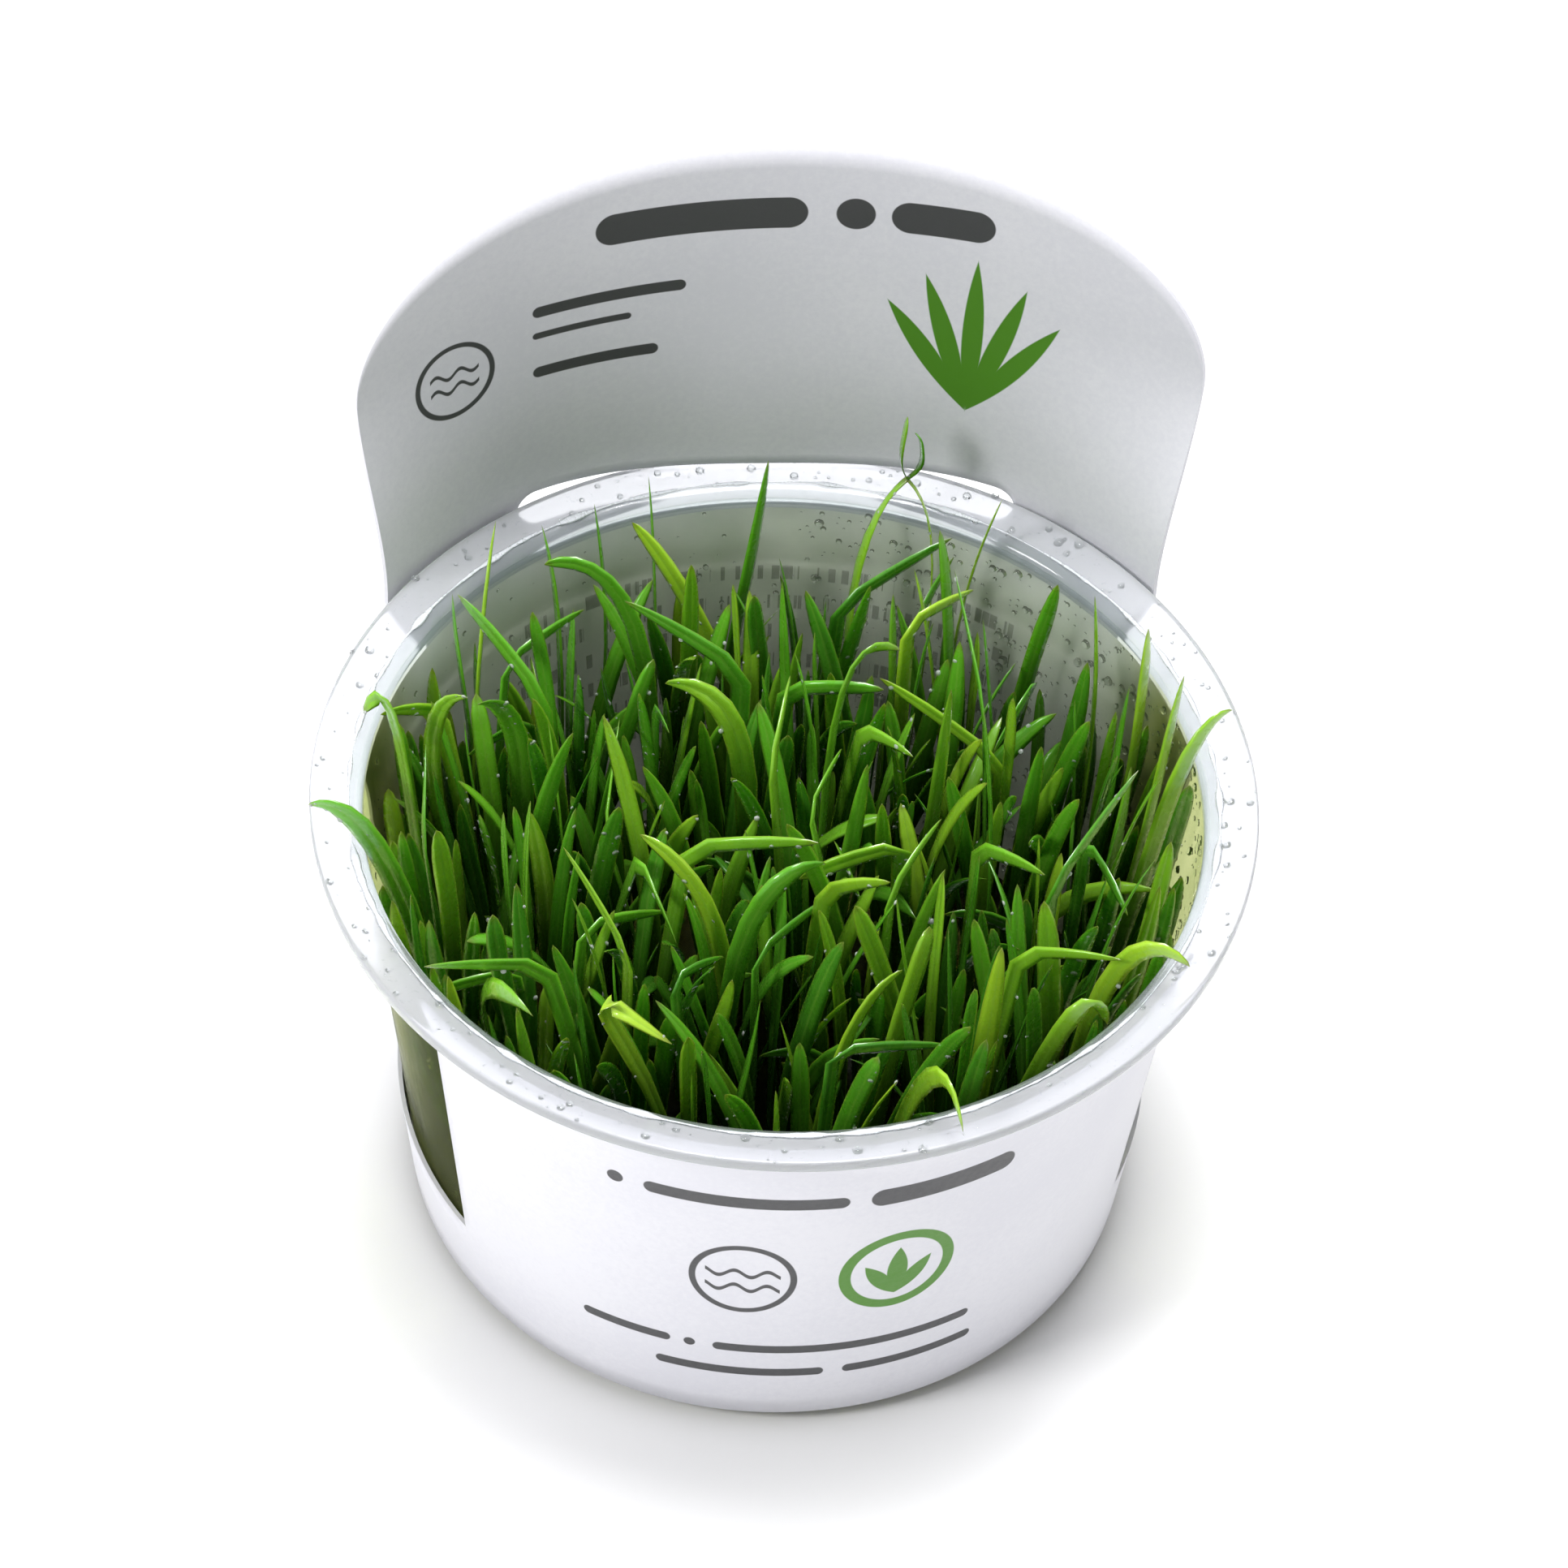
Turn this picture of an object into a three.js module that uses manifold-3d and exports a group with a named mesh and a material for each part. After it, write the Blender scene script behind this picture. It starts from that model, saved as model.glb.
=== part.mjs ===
// Tissue culture cup of a small grass-like aquarium plant: clear cup, nutrient gel, die cut card
// sleeve with a tall header, and the plantlets that grow in the gel. Millimetres, +Z up.
// The origin is the middle of the cup's underside. The sleeve's front panel faces -Y and its
// header stands at +Y.

import * as THREE from 'three';
import { mergeVertices } from 'three/addons/utils/BufferGeometryUtils.js';
import Module from 'manifold-3d';

const wasm = await Module();
wasm.setup();

// Driving dimensions of the cup
const rimRadius = 50;
const rimTop = 58.4;
const mouthTop = 57.5;
const mouthRadius = 44.4;
const ledgeTop = 47.2;
const ledgeRadius = 43.6;
const outerWallTop = 44.95;
const outerWallBase = 39.4;
const wallTopHeight = 55.9;
const wallBaseHeight = 1.0;
const floorThickness = 1.1;
const innerFloorRadius = 39.0;
const innerFloorHeight = 2.4;
const cupSides = 44;

// Gel
const gelTop = 11;
const gelGap = 0.4;

// Sleeve card
const cardThickness = 0.45;
const cardGap = 0.3;
const sleeveBottom = 2.0;
const bandTop = 14;
const frontPanelTop = 55.2;
const frontPanelHalfAngle = 59;
const slotLow = 54.2;
const slotHigh = 58.9;
const slotHalfAngle = 33;
const slotEndRadius = 2.35;
const headerHalfWidth = 48.4;
const headerSideTop = 81.5;
const headerTop = 103.5;
const headerExponent = 2.3;
const headerLean = 0.04;
const headerCurve = 75;
const headerMiddle = 48;
const rimLevelRadius = 50;
const slotFlattening = 3.0;
const flattenedHalfAngle = 36;
const cardOutsideRim = 50.7;
const frontCurl = 1.2;
const shoulderHalfAngle = 80;
const shoulderTop = 52.525;
const shoulderEasing = 12;
const backTurn = 1.6;
const frontTurn = 2.0;

// Plantlets
const plantletCount = 44;
const crownDiscRadius = 36;
const crownRadius = 2.1;
const crownHeight = 3.2;
const footOffset = 1.25;
const leavesPerPlantlet = 6;
const standGap = 0.3;
const leafClearance = 0.15;
const leafHalfThickness = 0.38;
const keelDepth = 0.7;
const joinTolerance = 0.02;
const randomSeed = 20577;

const degrees = Math.PI / 180;
const goldenAngle = Math.PI * (3 - Math.sqrt(5));

const lerp = (a, b, t) => a + (b - a) * t;

function smooth(x) {
  const t = Math.min(1, Math.max(0, x));
  return t * t * (3 - 2 * t);
}

// A small repeatable random source, so that the plantlets are always the same
function makeRandom(seed) {
  let state = seed;
  return () => {
    state = (state * 1664525 + 1013904223) % 4294967296;
    return state / 4294967296;
  };
}

// Materials

const cupPlastic = new THREE.MeshStandardMaterial({
  color: 0xe9eef0, roughness: 0.18, metalness: 0, transparent: true, opacity: 0.35,
});
const gelMaterial = new THREE.MeshStandardMaterial({ color: 0xa8a878, roughness: 0.25, metalness: 0 });
const cardMaterial = new THREE.MeshStandardMaterial({ color: 0xeeeef2, roughness: 0.5, metalness: 0 });
const leafMaterials = [0x3f8f1c, 0x5aa51e, 0x2f7a1a].map(
  (color) => new THREE.MeshStandardMaterial({ color, roughness: 0.35, metalness: 0 }),
);

// Solid helpers

function turned(profile, sides) {
  const points = profile.map(([radius, height]) => new THREE.Vector2(radius, height));
  const geometry = new THREE.LatheGeometry(points, sides);
  geometry.rotateX(Math.PI / 2);
  return geometry;
}

function signedVolume(vertices, triangles) {
  let volume = 0;
  for (let i = 0; i < triangles.length; i += 3) {
    const [a, b, c] = [0, 1, 2].map((k) => vertices[triangles[i + k]]);
    volume += a.dot(new THREE.Vector3().crossVectors(b, c)) / 6;
  }
  return volume;
}

// A geometry from shared vertices and triangle indices, with its faces turned outwards
function closedGeometry(vertices, triangles) {
  const indices = [...triangles];
  if (signedVolume(vertices, indices) < 0) {
    indices.reverse();
  }
  const geometry = new THREE.BufferGeometry();
  geometry.setAttribute(
    'position', new THREE.Float32BufferAttribute(vertices.flatMap((v) => v.toArray()), 3),
  );
  geometry.setIndex(indices);
  geometry.computeVertexNormals();
  return geometry;
}

function toManifold(geometry) {
  const bare = geometry.clone();
  bare.deleteAttribute('normal');
  bare.deleteAttribute('uv');
  const merged = mergeVertices(bare, 1e-4);
  return new wasm.Manifold(new wasm.Mesh({
    numProp: 3,
    vertProperties: new Float32Array(merged.attributes.position.array),
    triVerts: new Uint32Array(merged.index.array),
  }));
}

function fromManifold(solid) {
  const mesh = solid.getMesh();
  const geometry = new THREE.BufferGeometry();
  geometry.setAttribute('position', new THREE.Float32BufferAttribute(mesh.vertProperties, 3));
  geometry.setIndex(Array.from(mesh.triVerts));
  geometry.computeVertexNormals();
  return geometry;
}

// Cup

const outerWallSlope = (outerWallTop - outerWallBase) / (wallTopHeight - wallBaseHeight);
const outerWallRadius = (z) => outerWallBase + (z - wallBaseHeight) * outerWallSlope;
const innerWallSlope = (ledgeRadius - innerFloorRadius) / (ledgeTop - innerFloorHeight);

function innerWallRadius(z) {
  if (z > ledgeTop) {
    return mouthRadius - 0.3;
  }
  return innerFloorRadius + (z - innerFloorHeight) * innerWallSlope;
}

function cupGeometry() {
  return turned([
    [0, 0],
    [outerWallBase - 1, 0],
    [outerWallBase, wallBaseHeight],
    [outerWallTop, wallTopHeight],
    [rimRadius - 0.9, 56.6],
    [rimRadius, 56.9],
    [rimRadius, rimTop],
    [mouthRadius + 1.3, mouthTop],
    [mouthRadius + 0.3, mouthTop - 0.5],
    [mouthRadius, mouthTop - 1.8],
    [mouthRadius - 0.3, ledgeTop],
    [ledgeRadius, ledgeTop - 0.7],
    [innerFloorRadius, innerFloorHeight],
    [innerFloorRadius - 1.6, floorThickness],
    [0, floorThickness],
  ], cupSides);
}

// Gel: a plain disc that follows the inside of the cup

function gelGeometry() {
  const low = floorThickness + gelGap;
  return turned([
    [0, low],
    [innerWallRadius(low) - 1.8, low],
    [innerWallRadius(gelTop) - gelGap, gelTop],
    [0, gelTop],
  ], cupSides);
}

// Sleeve: the card's inner face as a surface of azimuth from +Y towards +X, and height. The back
// swings out round the rim, and the shoulders beside it and the front panel stay under the flange

function angleFromBack(azimuth) {
  const turned = Math.abs(azimuth - backTurn * degrees);
  return Math.min(turned, 2 * Math.PI - turned);
}

function cardPoint(azimuth, z) {
  const cone = outerWallRadius(z) + cardGap;
  const back = angleFromBack(azimuth);
  const flattening = slotFlattening * (1 - smooth(back / (flattenedHalfAngle * degrees)));
  const inwards = smooth((back - headerHalfAngle) / (shoulderEasing * degrees));
  const rim = lerp(cardOutsideRim - flattening, cone + frontCurl, inwards);
  if (z <= slotHigh) {
    const radius = lerp(cone, rim, smooth((z - 48.5) / 7.5));
    return new THREE.Vector3(radius * Math.sin(azimuth), radius * Math.cos(azimuth), z);
  }
  const along = ((azimuth - backTurn * degrees) * rimLevelRadius) / headerCurve;
  const middle = headerMiddle + headerLean * (z - mouthTop);
  const x = headerCurve * Math.sin(along) + backTurn * degrees * rimLevelRadius;
  const y = middle - headerCurve * (1 - Math.cos(along));
  const w = smooth((z - slotHigh) / 26);
  return new THREE.Vector3(
    lerp(rim * Math.sin(azimuth), x, w), lerp(rim * Math.cos(azimuth), y, w), z,
  );
}

function cardNormal(azimuth, z) {
  const step = 0.01;
  const across = cardPoint(azimuth + step, z).sub(cardPoint(azimuth - step, z));
  const up = cardPoint(azimuth, z + step).sub(cardPoint(azimuth, z - step));
  return up.cross(across).normalize();
}

const headerHalfAngle = headerHalfWidth / rimLevelRadius;

function headerEdge(azimuth) {
  const share = Math.min(1, Math.abs(azimuth - backTurn * degrees) / headerHalfAngle);
  const rise = Math.pow(1 - Math.pow(share, headerExponent), 1 / headerExponent);
  return headerSideTop + (headerTop - headerSideTop) * rise;
}

// Half the slot's height at an azimuth, with round ends
function slotHalfHeight(azimuth) {
  const beyond = slotHalfAngle * degrees - Math.abs(azimuth - backTurn * degrees);
  const reach = Math.min(1, Math.max(0, (beyond * rimLevelRadius) / slotEndRadius));
  return ((slotHigh - slotLow) / 2) * Math.sqrt(1 - (1 - reach) * (1 - reach));
}

function spread(from, to, count) {
  return Array.from({ length: count + 1 }, (_, i) => lerp(from, to, i / count));
}

// Close together near the first value, where the header's corner is round
function spreadFromCorner(corner, to, count) {
  return spread(0, 1, count).map((share) => lerp(corner, to, share * share));
}

// The columns' azimuths, from the header's left edge round by the right, the front and the left
function sleeveAzimuths() {
  const middle = backTurn * degrees;
  const slot = slotHalfAngle * degrees;
  const front = Math.PI - frontTurn * degrees;
  const panel = frontPanelHalfAngle * degrees;
  const shoulder = shoulderHalfAngle * degrees;
  const round = 0.05;
  const stops = [
    ...spreadFromCorner(middle - headerHalfAngle, middle - slot, 8),
    middle - slot + round / 3,
    ...spread(middle - slot + round, middle + slot - round, 10),
    middle + slot - round / 3,
    ...spreadFromCorner(middle + headerHalfAngle, middle + slot, 8).reverse(),
    ...spread(middle + headerHalfAngle, middle + shoulder, 4).slice(1),
    ...spread(middle + shoulder, front - panel, 5).slice(1),
    ...spread(front - panel, front + panel, 15).slice(1),
    ...spread(front + panel, 2 * Math.PI + middle - shoulder, 5).slice(1),
    ...spread(2 * Math.PI + middle - shoulder, 2 * Math.PI + middle - headerHalfAngle, 4).slice(1, -1),
  ];
  return stops;
}

function sleeveGeometry() {
  const stops = sleeveAzimuths();
  const count = stops.length;
  const front = Math.PI - frontTurn * degrees;
  const panel = frontPanelHalfAngle * degrees + 1e-6;
  const inBack = (a) => angleFromBack(a) <= headerHalfAngle + 1e-6;
  const inShoulders = (a) => angleFromBack(a) <= shoulderHalfAngle * degrees + 1e-6;
  const inFront = (a) => Math.abs(a - front) <= panel;
  const slotMiddle = (slotLow + slotHigh) / 2;

  const inner = [];
  const outer = [];
  const known = new Map();
  function vertex(column, z) {
    const key = `${column % count}:${z.toFixed(4)}`;
    if (!known.has(key)) {
      const azimuth = stops[column % count];
      const point = cardPoint(azimuth, z);
      known.set(key, inner.length);
      inner.push(point);
      outer.push(point.clone().addScaledVector(cardNormal(azimuth, z), cardThickness));
    }
    return known.get(key);
  }

  const quads = [];
  function patch(column, low, high, rows) {
    const next = column + 1;
    const a = (k) => stops[k % count];
    for (let row = 0; row < rows; row += 1) {
      const corner = (k, share) => vertex(k, lerp(low(a(k)), high(a(k)), share));
      const quad = [
        corner(column, row / rows), corner(next, row / rows),
        corner(next, (row + 1) / rows), corner(column, (row + 1) / rows),
      ];
      quads.push(quad.filter((v, i) => quad.indexOf(v) === i));
    }
  }

  const flat = (z) => () => z;
  for (let column = 0; column < count; column += 1) {
    const here = stops[column];
    const there = stops[(column + 1) % count];
    patch(column, flat(sleeveBottom), flat(bandTop), 1);
    if (inFront(here) && inFront(there)) {
      patch(column, flat(bandTop), flat(frontPanelTop), 1);
    }
    if (inShoulders(here) && inShoulders(there)) {
      patch(column, flat(bandTop), flat(48.5), 1);
    }
    if (inShoulders(here) && inShoulders(there) && !(inBack(here) && inBack(there))) {
      patch(column, flat(48.5), flat(shoulderTop), 1);
    }
    if (inBack(here) && inBack(there)) {
      patch(column, flat(48.5), (a) => slotMiddle - slotHalfHeight(a), 2);
      patch(column, (a) => slotMiddle + slotHalfHeight(a), headerEdge, 4);
    }
  }

  // Inner face, outer face, and a wall along every edge that only one face of the sheet uses
  const triangles = [];
  const shift = inner.length;
  const edges = new Map();
  quads.forEach((quad) => {
    for (let i = 1; i + 1 < quad.length; i += 1) {
      triangles.push(quad[0], quad[i], quad[i + 1]);
      triangles.push(quad[0] + shift, quad[i + 1] + shift, quad[i] + shift);
    }
    quad.forEach((from, i) => {
      const to = quad[(i + 1) % quad.length];
      if (edges.has(`${to}:${from}`)) {
        edges.delete(`${to}:${from}`);
      } else {
        edges.set(`${from}:${to}`, [from, to]);
      }
    });
  });
  edges.forEach(([from, to]) => {
    triangles.push(to, from, from + shift);
    triangles.push(to, from + shift, to + shift);
  });
  return closedGeometry([...inner, ...outer], triangles);
}

// Leaves: each one is a curve through its crown, two bends and its tip, with a width

// Leaves that stand out of the turf: foot on the gel, rise, bend and tip, and the greatest width.
// Those whose feet are close together grow from one crown.
const standingLeaves = [
  { foot: [-6, 33], rise: [-4, 37, 32], bend: [-1, 37, 50], tip: [1, 41, 66], width: 3.6 },
  { foot: [13, 31], rise: [11, 34, 36], bend: [10, 39, 60], tip: [16, 41, 72], width: 1.7 },
  { foot: [13, 31], rise: [18, 36, 34], bend: [23, 39, 60], tip: [17, 41, 71], width: 1.7 },
  { foot: [20, 30], rise: [20, 36, 32], bend: [23, 36, 52], tip: [26, 34, 66], width: 1.6 },
  { foot: [-12, 32], rise: [-11, 37, 34], bend: [-11, 38, 50], tip: [-12, 42, 63], width: 1.8 },
  { foot: [-19, 27], rise: [-16, 34, 32], bend: [-16, 37, 48], tip: [-18, 41, 60], width: 2.2 },
  { foot: [2, 28], rise: [0, 29, 34], bend: [-7, 34, 54], tip: [-14, 38, 60], width: 3.4 },
  { foot: [-24, 26], rise: [-22, 29, 32], bend: [-21, 31, 50], tip: [-24, 36, 62], width: 4.2 },
  { foot: [-11, 22], rise: [-11, 25, 42], bend: [-13, 28, 68], tip: [-24, 30, 62], width: 3.0 },
  { foot: [-32, 15], rise: [-33, 18, 32], bend: [-32, 23, 56], tip: [-29, 35, 64], width: 4.0 },
  { foot: [-28, 20], rise: [-30, 21, 32], bend: [-34, 22, 50], tip: [-34, 28, 60], width: 3.6 },
  { foot: [-35, 0], rise: [-39, 3, 36], bend: [-39, 12, 72], tip: [-44, 10, 61], width: 2.6 },
  { foot: [-32, -7], rise: [-38, -8, 42], bend: [-42, -7, 68], tip: [-50, -4, 62.5], width: 4.0 },
  { foot: [34, -8], rise: [38, -7, 38], bend: [40, -1, 68], tip: [47, 2, 66], width: 3.2 },
  { foot: [35, 4], rise: [38, 8, 34], bend: [40, 12, 52], tip: [40, 16, 64], width: 3.4 },
  { foot: [35, -3], rise: [39, 0, 34], bend: [40, 4, 54], tip: [43, 9, 64], width: 3.4 },
  { foot: [27, -22], rise: [29, -25, 38], bend: [30, -25, 70], tip: [39, -29, 61.5], width: 3.0 },
  { foot: [8, -32], rise: [9, -36, 40], bend: [11, -40, 74], tip: [14, -48, 60], width: 3.0 },
  { foot: [17, -30], rise: [18, -29, 30], bend: [19, -28, 48], tip: [20, -26, 62], width: 3.6 },
  { foot: [28, -16], rise: [28, -21, 30], bend: [27, -22, 48], tip: [25, -20, 62], width: 3.8 },
  { foot: [22, -27], rise: [23, -31, 46], bend: [27, -35, 72], tip: [31, -30, 54], width: 2.6 },
  { foot: [6, -26], rise: [8, -27, 34], bend: [11, -25, 52], tip: [13, -22, 61], width: 4.0 },
  { foot: [-3, -31], rise: [0, -30, 38], bend: [4, -28, 56], tip: [10, -26, 59], width: 3.0 },
  { foot: [-14, -26], rise: [-12, -29, 50], bend: [-30, -27, 68], tip: [-14, -33, 57], width: 2.8 },
  { foot: [-6, -12], rise: [-4, -14, 42], bend: [-8, -15, 62], tip: [-16, -10, 63], width: 3.0 },
  { foot: [-6, -12], rise: [-9, -17, 46], bend: [-5, -18, 68], tip: [3, -14, 62], width: 3.6 },
  { foot: [5, 4], rise: [6, 6, 42], bend: [3, 11, 74], tip: [13, 13, 65], width: 2.8 },
  { foot: [-13, -5], rise: [-13, -3, 30], bend: [-14, 0, 50], tip: [-19, 4, 66], width: 4.0 },
  { foot: [-27, -9], rise: [-28, -7, 30], bend: [-28, -5, 48], tip: [-27, -4, 62], width: 3.6 },
  { foot: [0, 10], rise: [-1, 9, 40], bend: [-2, 7, 68], tip: [-12, 12, 62], width: 4.2 },
  { foot: [-30, 10], rise: [-26, 14, 38], bend: [-26, 14, 60], tip: [-32, 8, 64], width: 4.2 },
  { foot: [-30, 10], rise: [-36, 12, 38], bend: [-40, 13, 62], tip: [-33, 9, 64], width: 2.4 },
  { foot: [33, 13], rise: [35, 15, 30], bend: [36, 18, 48], tip: [35, 22, 63], width: 4.0 },
  { foot: [24, -5], rise: [24, -3, 30], bend: [23, 1, 48], tip: [21, 4, 65], width: 4.0 },
  { foot: [15, 7], rise: [16, 7, 30], bend: [17, 7, 48], tip: [18, 8, 64], width: 3.8 },
  { foot: [-32, -14], rise: [-34, -18, 42], bend: [-35, -24, 64], tip: [-28, -32, 61], width: 3.0 },
];

const standingStations = [0, 0.3, 0.58, 0.82, 1];
const turfStations = [0, 0.38, 0.74, 1];

function curvePoint(leaf, t) {
  const u = 1 - t;
  const [a, b, c, d] = [u * u * u, 3 * u * u * t, 3 * u * t * t, t * t * t];
  return new THREE.Vector3(
    a * leaf.foot.x + b * leaf.rise.x + c * leaf.bend.x + d * leaf.tip.x,
    a * leaf.foot.y + b * leaf.rise.y + c * leaf.bend.y + d * leaf.tip.y,
    a * leaf.foot.z + b * leaf.rise.z + c * leaf.bend.z + d * leaf.tip.z,
  );
}

// The blade is narrow at its foot, widest past its middle and bluntly pointed
function bladeWidth(leaf, t) {
  const shoulder = 0.3 + 0.7 * smooth(t / 0.6);
  const nose = t < 0.66 ? 1 : Math.sqrt(Math.max(0, 1 - ((t - 0.66) / 0.34) ** 2));
  return leaf.width * shoulder * nose;
}

// The direction across the blade: level, and turning slowly about the leaf as it rises
function bladeSide(leaf, t, along) {
  const heading = leaf.facing + leaf.twist * t;
  const side = new THREE.Vector3(Math.cos(heading), Math.sin(heading), 0);
  side.addScaledVector(along, -side.dot(along));
  return side.normalize();
}

function leafFrames(leaf) {
  const points = leaf.stations.map((t) => curvePoint(leaf, t));
  return points.map((point, i) => {
    const before = points[Math.max(0, i - 1)];
    const after = points[Math.min(points.length - 1, i + 1)];
    const along = after.clone().sub(before).normalize();
    const side = bladeSide(leaf, leaf.stations[i], along);
    const face = new THREE.Vector3().crossVectors(side, along);
    return { point, side, face, half: bladeWidth(leaf, leaf.stations[i]) / 2 };
  });
}

// Shortest way between two straight stretches, as the two shares along them
function closestShares(p1, q1, p2, q2) {
  const d1 = q1.clone().sub(p1);
  const d2 = q2.clone().sub(p2);
  const r = p1.clone().sub(p2);
  const a = d1.dot(d1);
  const e = d2.dot(d2);
  const f = d2.dot(r);
  const c = d1.dot(r);
  const b = d1.dot(d2);
  const clamp = (x) => Math.min(1, Math.max(0, x));
  const denominator = a * e - b * b;
  let s = denominator > 1e-9 ? clamp((b * f - c * e) / denominator) : 0;
  let t = (b * s + f) / e;
  if (t < 0 || t > 1) {
    t = clamp(t);
    s = clamp((b * t - c) / a);
  }
  return [s, t];
}

// How far a blade reaches towards a direction, from the middle of its section
function reach(frame, direction) {
  return frame.half * Math.abs(frame.side.dot(direction))
    + leafHalfThickness * Math.abs(frame.face.dot(direction));
}

// Leaves of one crown may meet below the section numbered first
function leavesTouch(one, other, first) {
  for (let i = first; i + 1 < one.length; i += 1) {
    for (let j = first; j + 1 < other.length; j += 1) {
      const [p1, q1, p2, q2] = [one[i].point, one[i + 1].point, other[j].point, other[j + 1].point];
      const [s, t] = closestShares(p1, q1, p2, q2);
      const gap = p1.clone().lerp(q1, s).sub(p2.clone().lerp(q2, t));
      const distance = gap.length();
      if (distance < 0.05) {
        return true;
      }
      const direction = gap.divideScalar(distance);
      const room = Math.max(reach(one[i], direction), reach(one[i + 1], direction))
        + Math.max(reach(other[j], direction), reach(other[j + 1], direction));
      if (distance < room + leafClearance) {
        return true;
      }
    }
  }
  return false;
}

// Inside the wall below the rim, and clear of the rim's upper face above it
function clearOfCup(frames) {
  return frames.every((frame, i) => {
    if (i === 0) {
      return true;
    }
    const radius = Math.hypot(frame.point.x, frame.point.y);
    const outwards = new THREE.Vector3(frame.point.x / radius, frame.point.y / radius, 0);
    const edge = radius + reach(frame, outwards);
    if (frame.point.z > rimTop + 1.2) {
      return true;
    }
    return edge < innerWallRadius(frame.point.z) - 0.5 && frame.point.z > gelTop + 1;
  });
}

function crownPlaces() {
  return Array.from({ length: plantletCount }, (_, k) => {
    const radius = crownDiscRadius * Math.sqrt((k + 0.5) / plantletCount);
    return new THREE.Vector3(
      radius * Math.cos(k * goldenAngle), radius * Math.sin(k * goldenAngle), gelTop + standGap,
    );
  });
}

function nearestCrown(crowns, [x, y]) {
  const distances = crowns.map((crown) => Math.hypot(crown.x - x, crown.y - y));
  return distances.indexOf(Math.min(...distances));
}

function footOnCrown(crown, heading) {
  return new THREE.Vector3(
    crown.x + footOffset * Math.cos(heading), crown.y + footOffset * Math.sin(heading), crown.z + 1,
  );
}

function standingLeaf(entry, crown) {
  const [rise, bend, tip] = [entry.rise, entry.bend, entry.tip].map((p) => new THREE.Vector3(...p));
  const heading = Math.atan2(tip.y - crown.y, tip.x - crown.x);
  return {
    foot: footOnCrown(crown, heading),
    rise, bend, tip,
    width: entry.width,
    facing: heading + Math.PI / 2,
    twist: 0,
    stations: standingStations,
  };
}

// A leaf of the turf: it leans out from its crown by an angle that grows from foot to tip
function turfLeaf(crown, heading, random) {
  const length = lerp(34, 52, random());
  const kind = random();
  const firstLean = lerp(0, 7, random()) * degrees;
  const secondLean = lerp(2, 15, random()) * degrees;
  let lastLean = lerp(3, 34, random()) * degrees;
  if (kind > 0.86) {
    lastLean = lerp(70, 125, random()) * degrees;
  }
  const drift = lerp(-0.9, 0.9, random());
  const foot = footOnCrown(crown, heading);
  const step = (from, share, lean, turn) => new THREE.Vector3(
    from.x + length * share * Math.sin(lean) * Math.cos(heading + turn),
    from.y + length * share * Math.sin(lean) * Math.sin(heading + turn),
    from.z + length * share * Math.cos(lean),
  );
  const rise = step(foot, 0.38, firstLean, 0);
  const bend = step(rise, 0.36, secondLean, drift / 2);
  const tip = step(bend, 0.26, lastLean, drift);
  return {
    foot, rise, bend, tip,
    width: lerp(2.0, 3.7, random()),
    facing: heading + Math.PI / 2 + lerp(-0.8, 0.8, random()),
    twist: lerp(-0.9, 0.9, random()),
    stations: turfStations,
  };
}

// All leaves, each with the number of its crown. A leaf is kept where it finds room.
function growLeaves(crowns) {
  const random = makeRandom(randomSeed);
  const leaves = [];
  standingLeaves.forEach((entry) => {
    const crown = nearestCrown(crowns, entry.foot);
    const leaf = standingLeaf(entry, crowns[crown]);
    const frames = leafFrames(leaf);
    if (leaves.every((other) => other.crown === crown || !leavesTouch(frames, other.frames, 0))) {
      leaves.push({ ...leaf, frames, crown });
    }
  });
  const isClear = (frames, crown) => clearOfCup(frames)
    && leaves.every((leaf) => !leavesTouch(frames, leaf.frames, leaf.crown === crown ? 1 : 0));
  for (let round = 0; round < leavesPerPlantlet; round += 1) {
    crowns.forEach((place, crown) => {
      for (let attempt = 0; attempt < 24; attempt += 1) {
        const heading = ((round + random()) / leavesPerPlantlet) * 2 * Math.PI + crown;
        const leaf = turfLeaf(place, heading, random);
        const frames = leafFrames(leaf);
        if (isClear(frames, crown)) {
          leaves.push({ ...leaf, frames, crown });
          break;
        }
      }
    });
  }
  return leaves;
}

// A leaf as a solid: a shallow V with a keel under the blade, closed to a point at the tip
function leafSolid(leaf) {
  const vertices = [];
  const triangles = [];
  const rings = leaf.frames.length - 1;
  leaf.frames.slice(0, rings).forEach(({ point, side, face, half }) => {
    vertices.push(
      point.clone().addScaledVector(side, -half).addScaledVector(face, 0.2),
      point.clone().addScaledVector(side, half).addScaledVector(face, 0.2),
      point.clone().addScaledVector(face, 0.2 - keelDepth),
    );
  });
  vertices.push(leaf.frames[rings].point.clone());
  triangles.push(0, 2, 1);
  for (let ring = 0; ring + 1 < rings; ring += 1) {
    for (let k = 0; k < 3; k += 1) {
      const a = ring * 3 + k;
      const b = ring * 3 + ((k + 1) % 3);
      triangles.push(a, b, b + 3, a, b + 3, a + 3);
    }
  }
  const last = (rings - 1) * 3;
  for (let k = 0; k < 3; k += 1) {
    triangles.push(last + k, last + ((k + 1) % 3), vertices.length - 1);
  }
  return toManifold(closedGeometry(vertices, triangles));
}

function crownSolid(place) {
  const geometry = turned([
    [0, 0],
    [crownRadius, 0],
    [0, crownHeight],
  ], 6);
  geometry.translate(place.x, place.y, place.z);
  return toManifold(geometry);
}

function plantletGeometry(place, leaves) {
  const solid = leaves.reduce((whole, leaf) => whole.add(leafSolid(leaf)), crownSolid(place));
  return fromManifold(solid.simplify(joinTolerance));
}

// The whole object

const object = new THREE.Group();

function addPiece(name, geometry, material) {
  const mesh = new THREE.Mesh(geometry, material);
  mesh.name = name;
  object.add(mesh);
}

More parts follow.
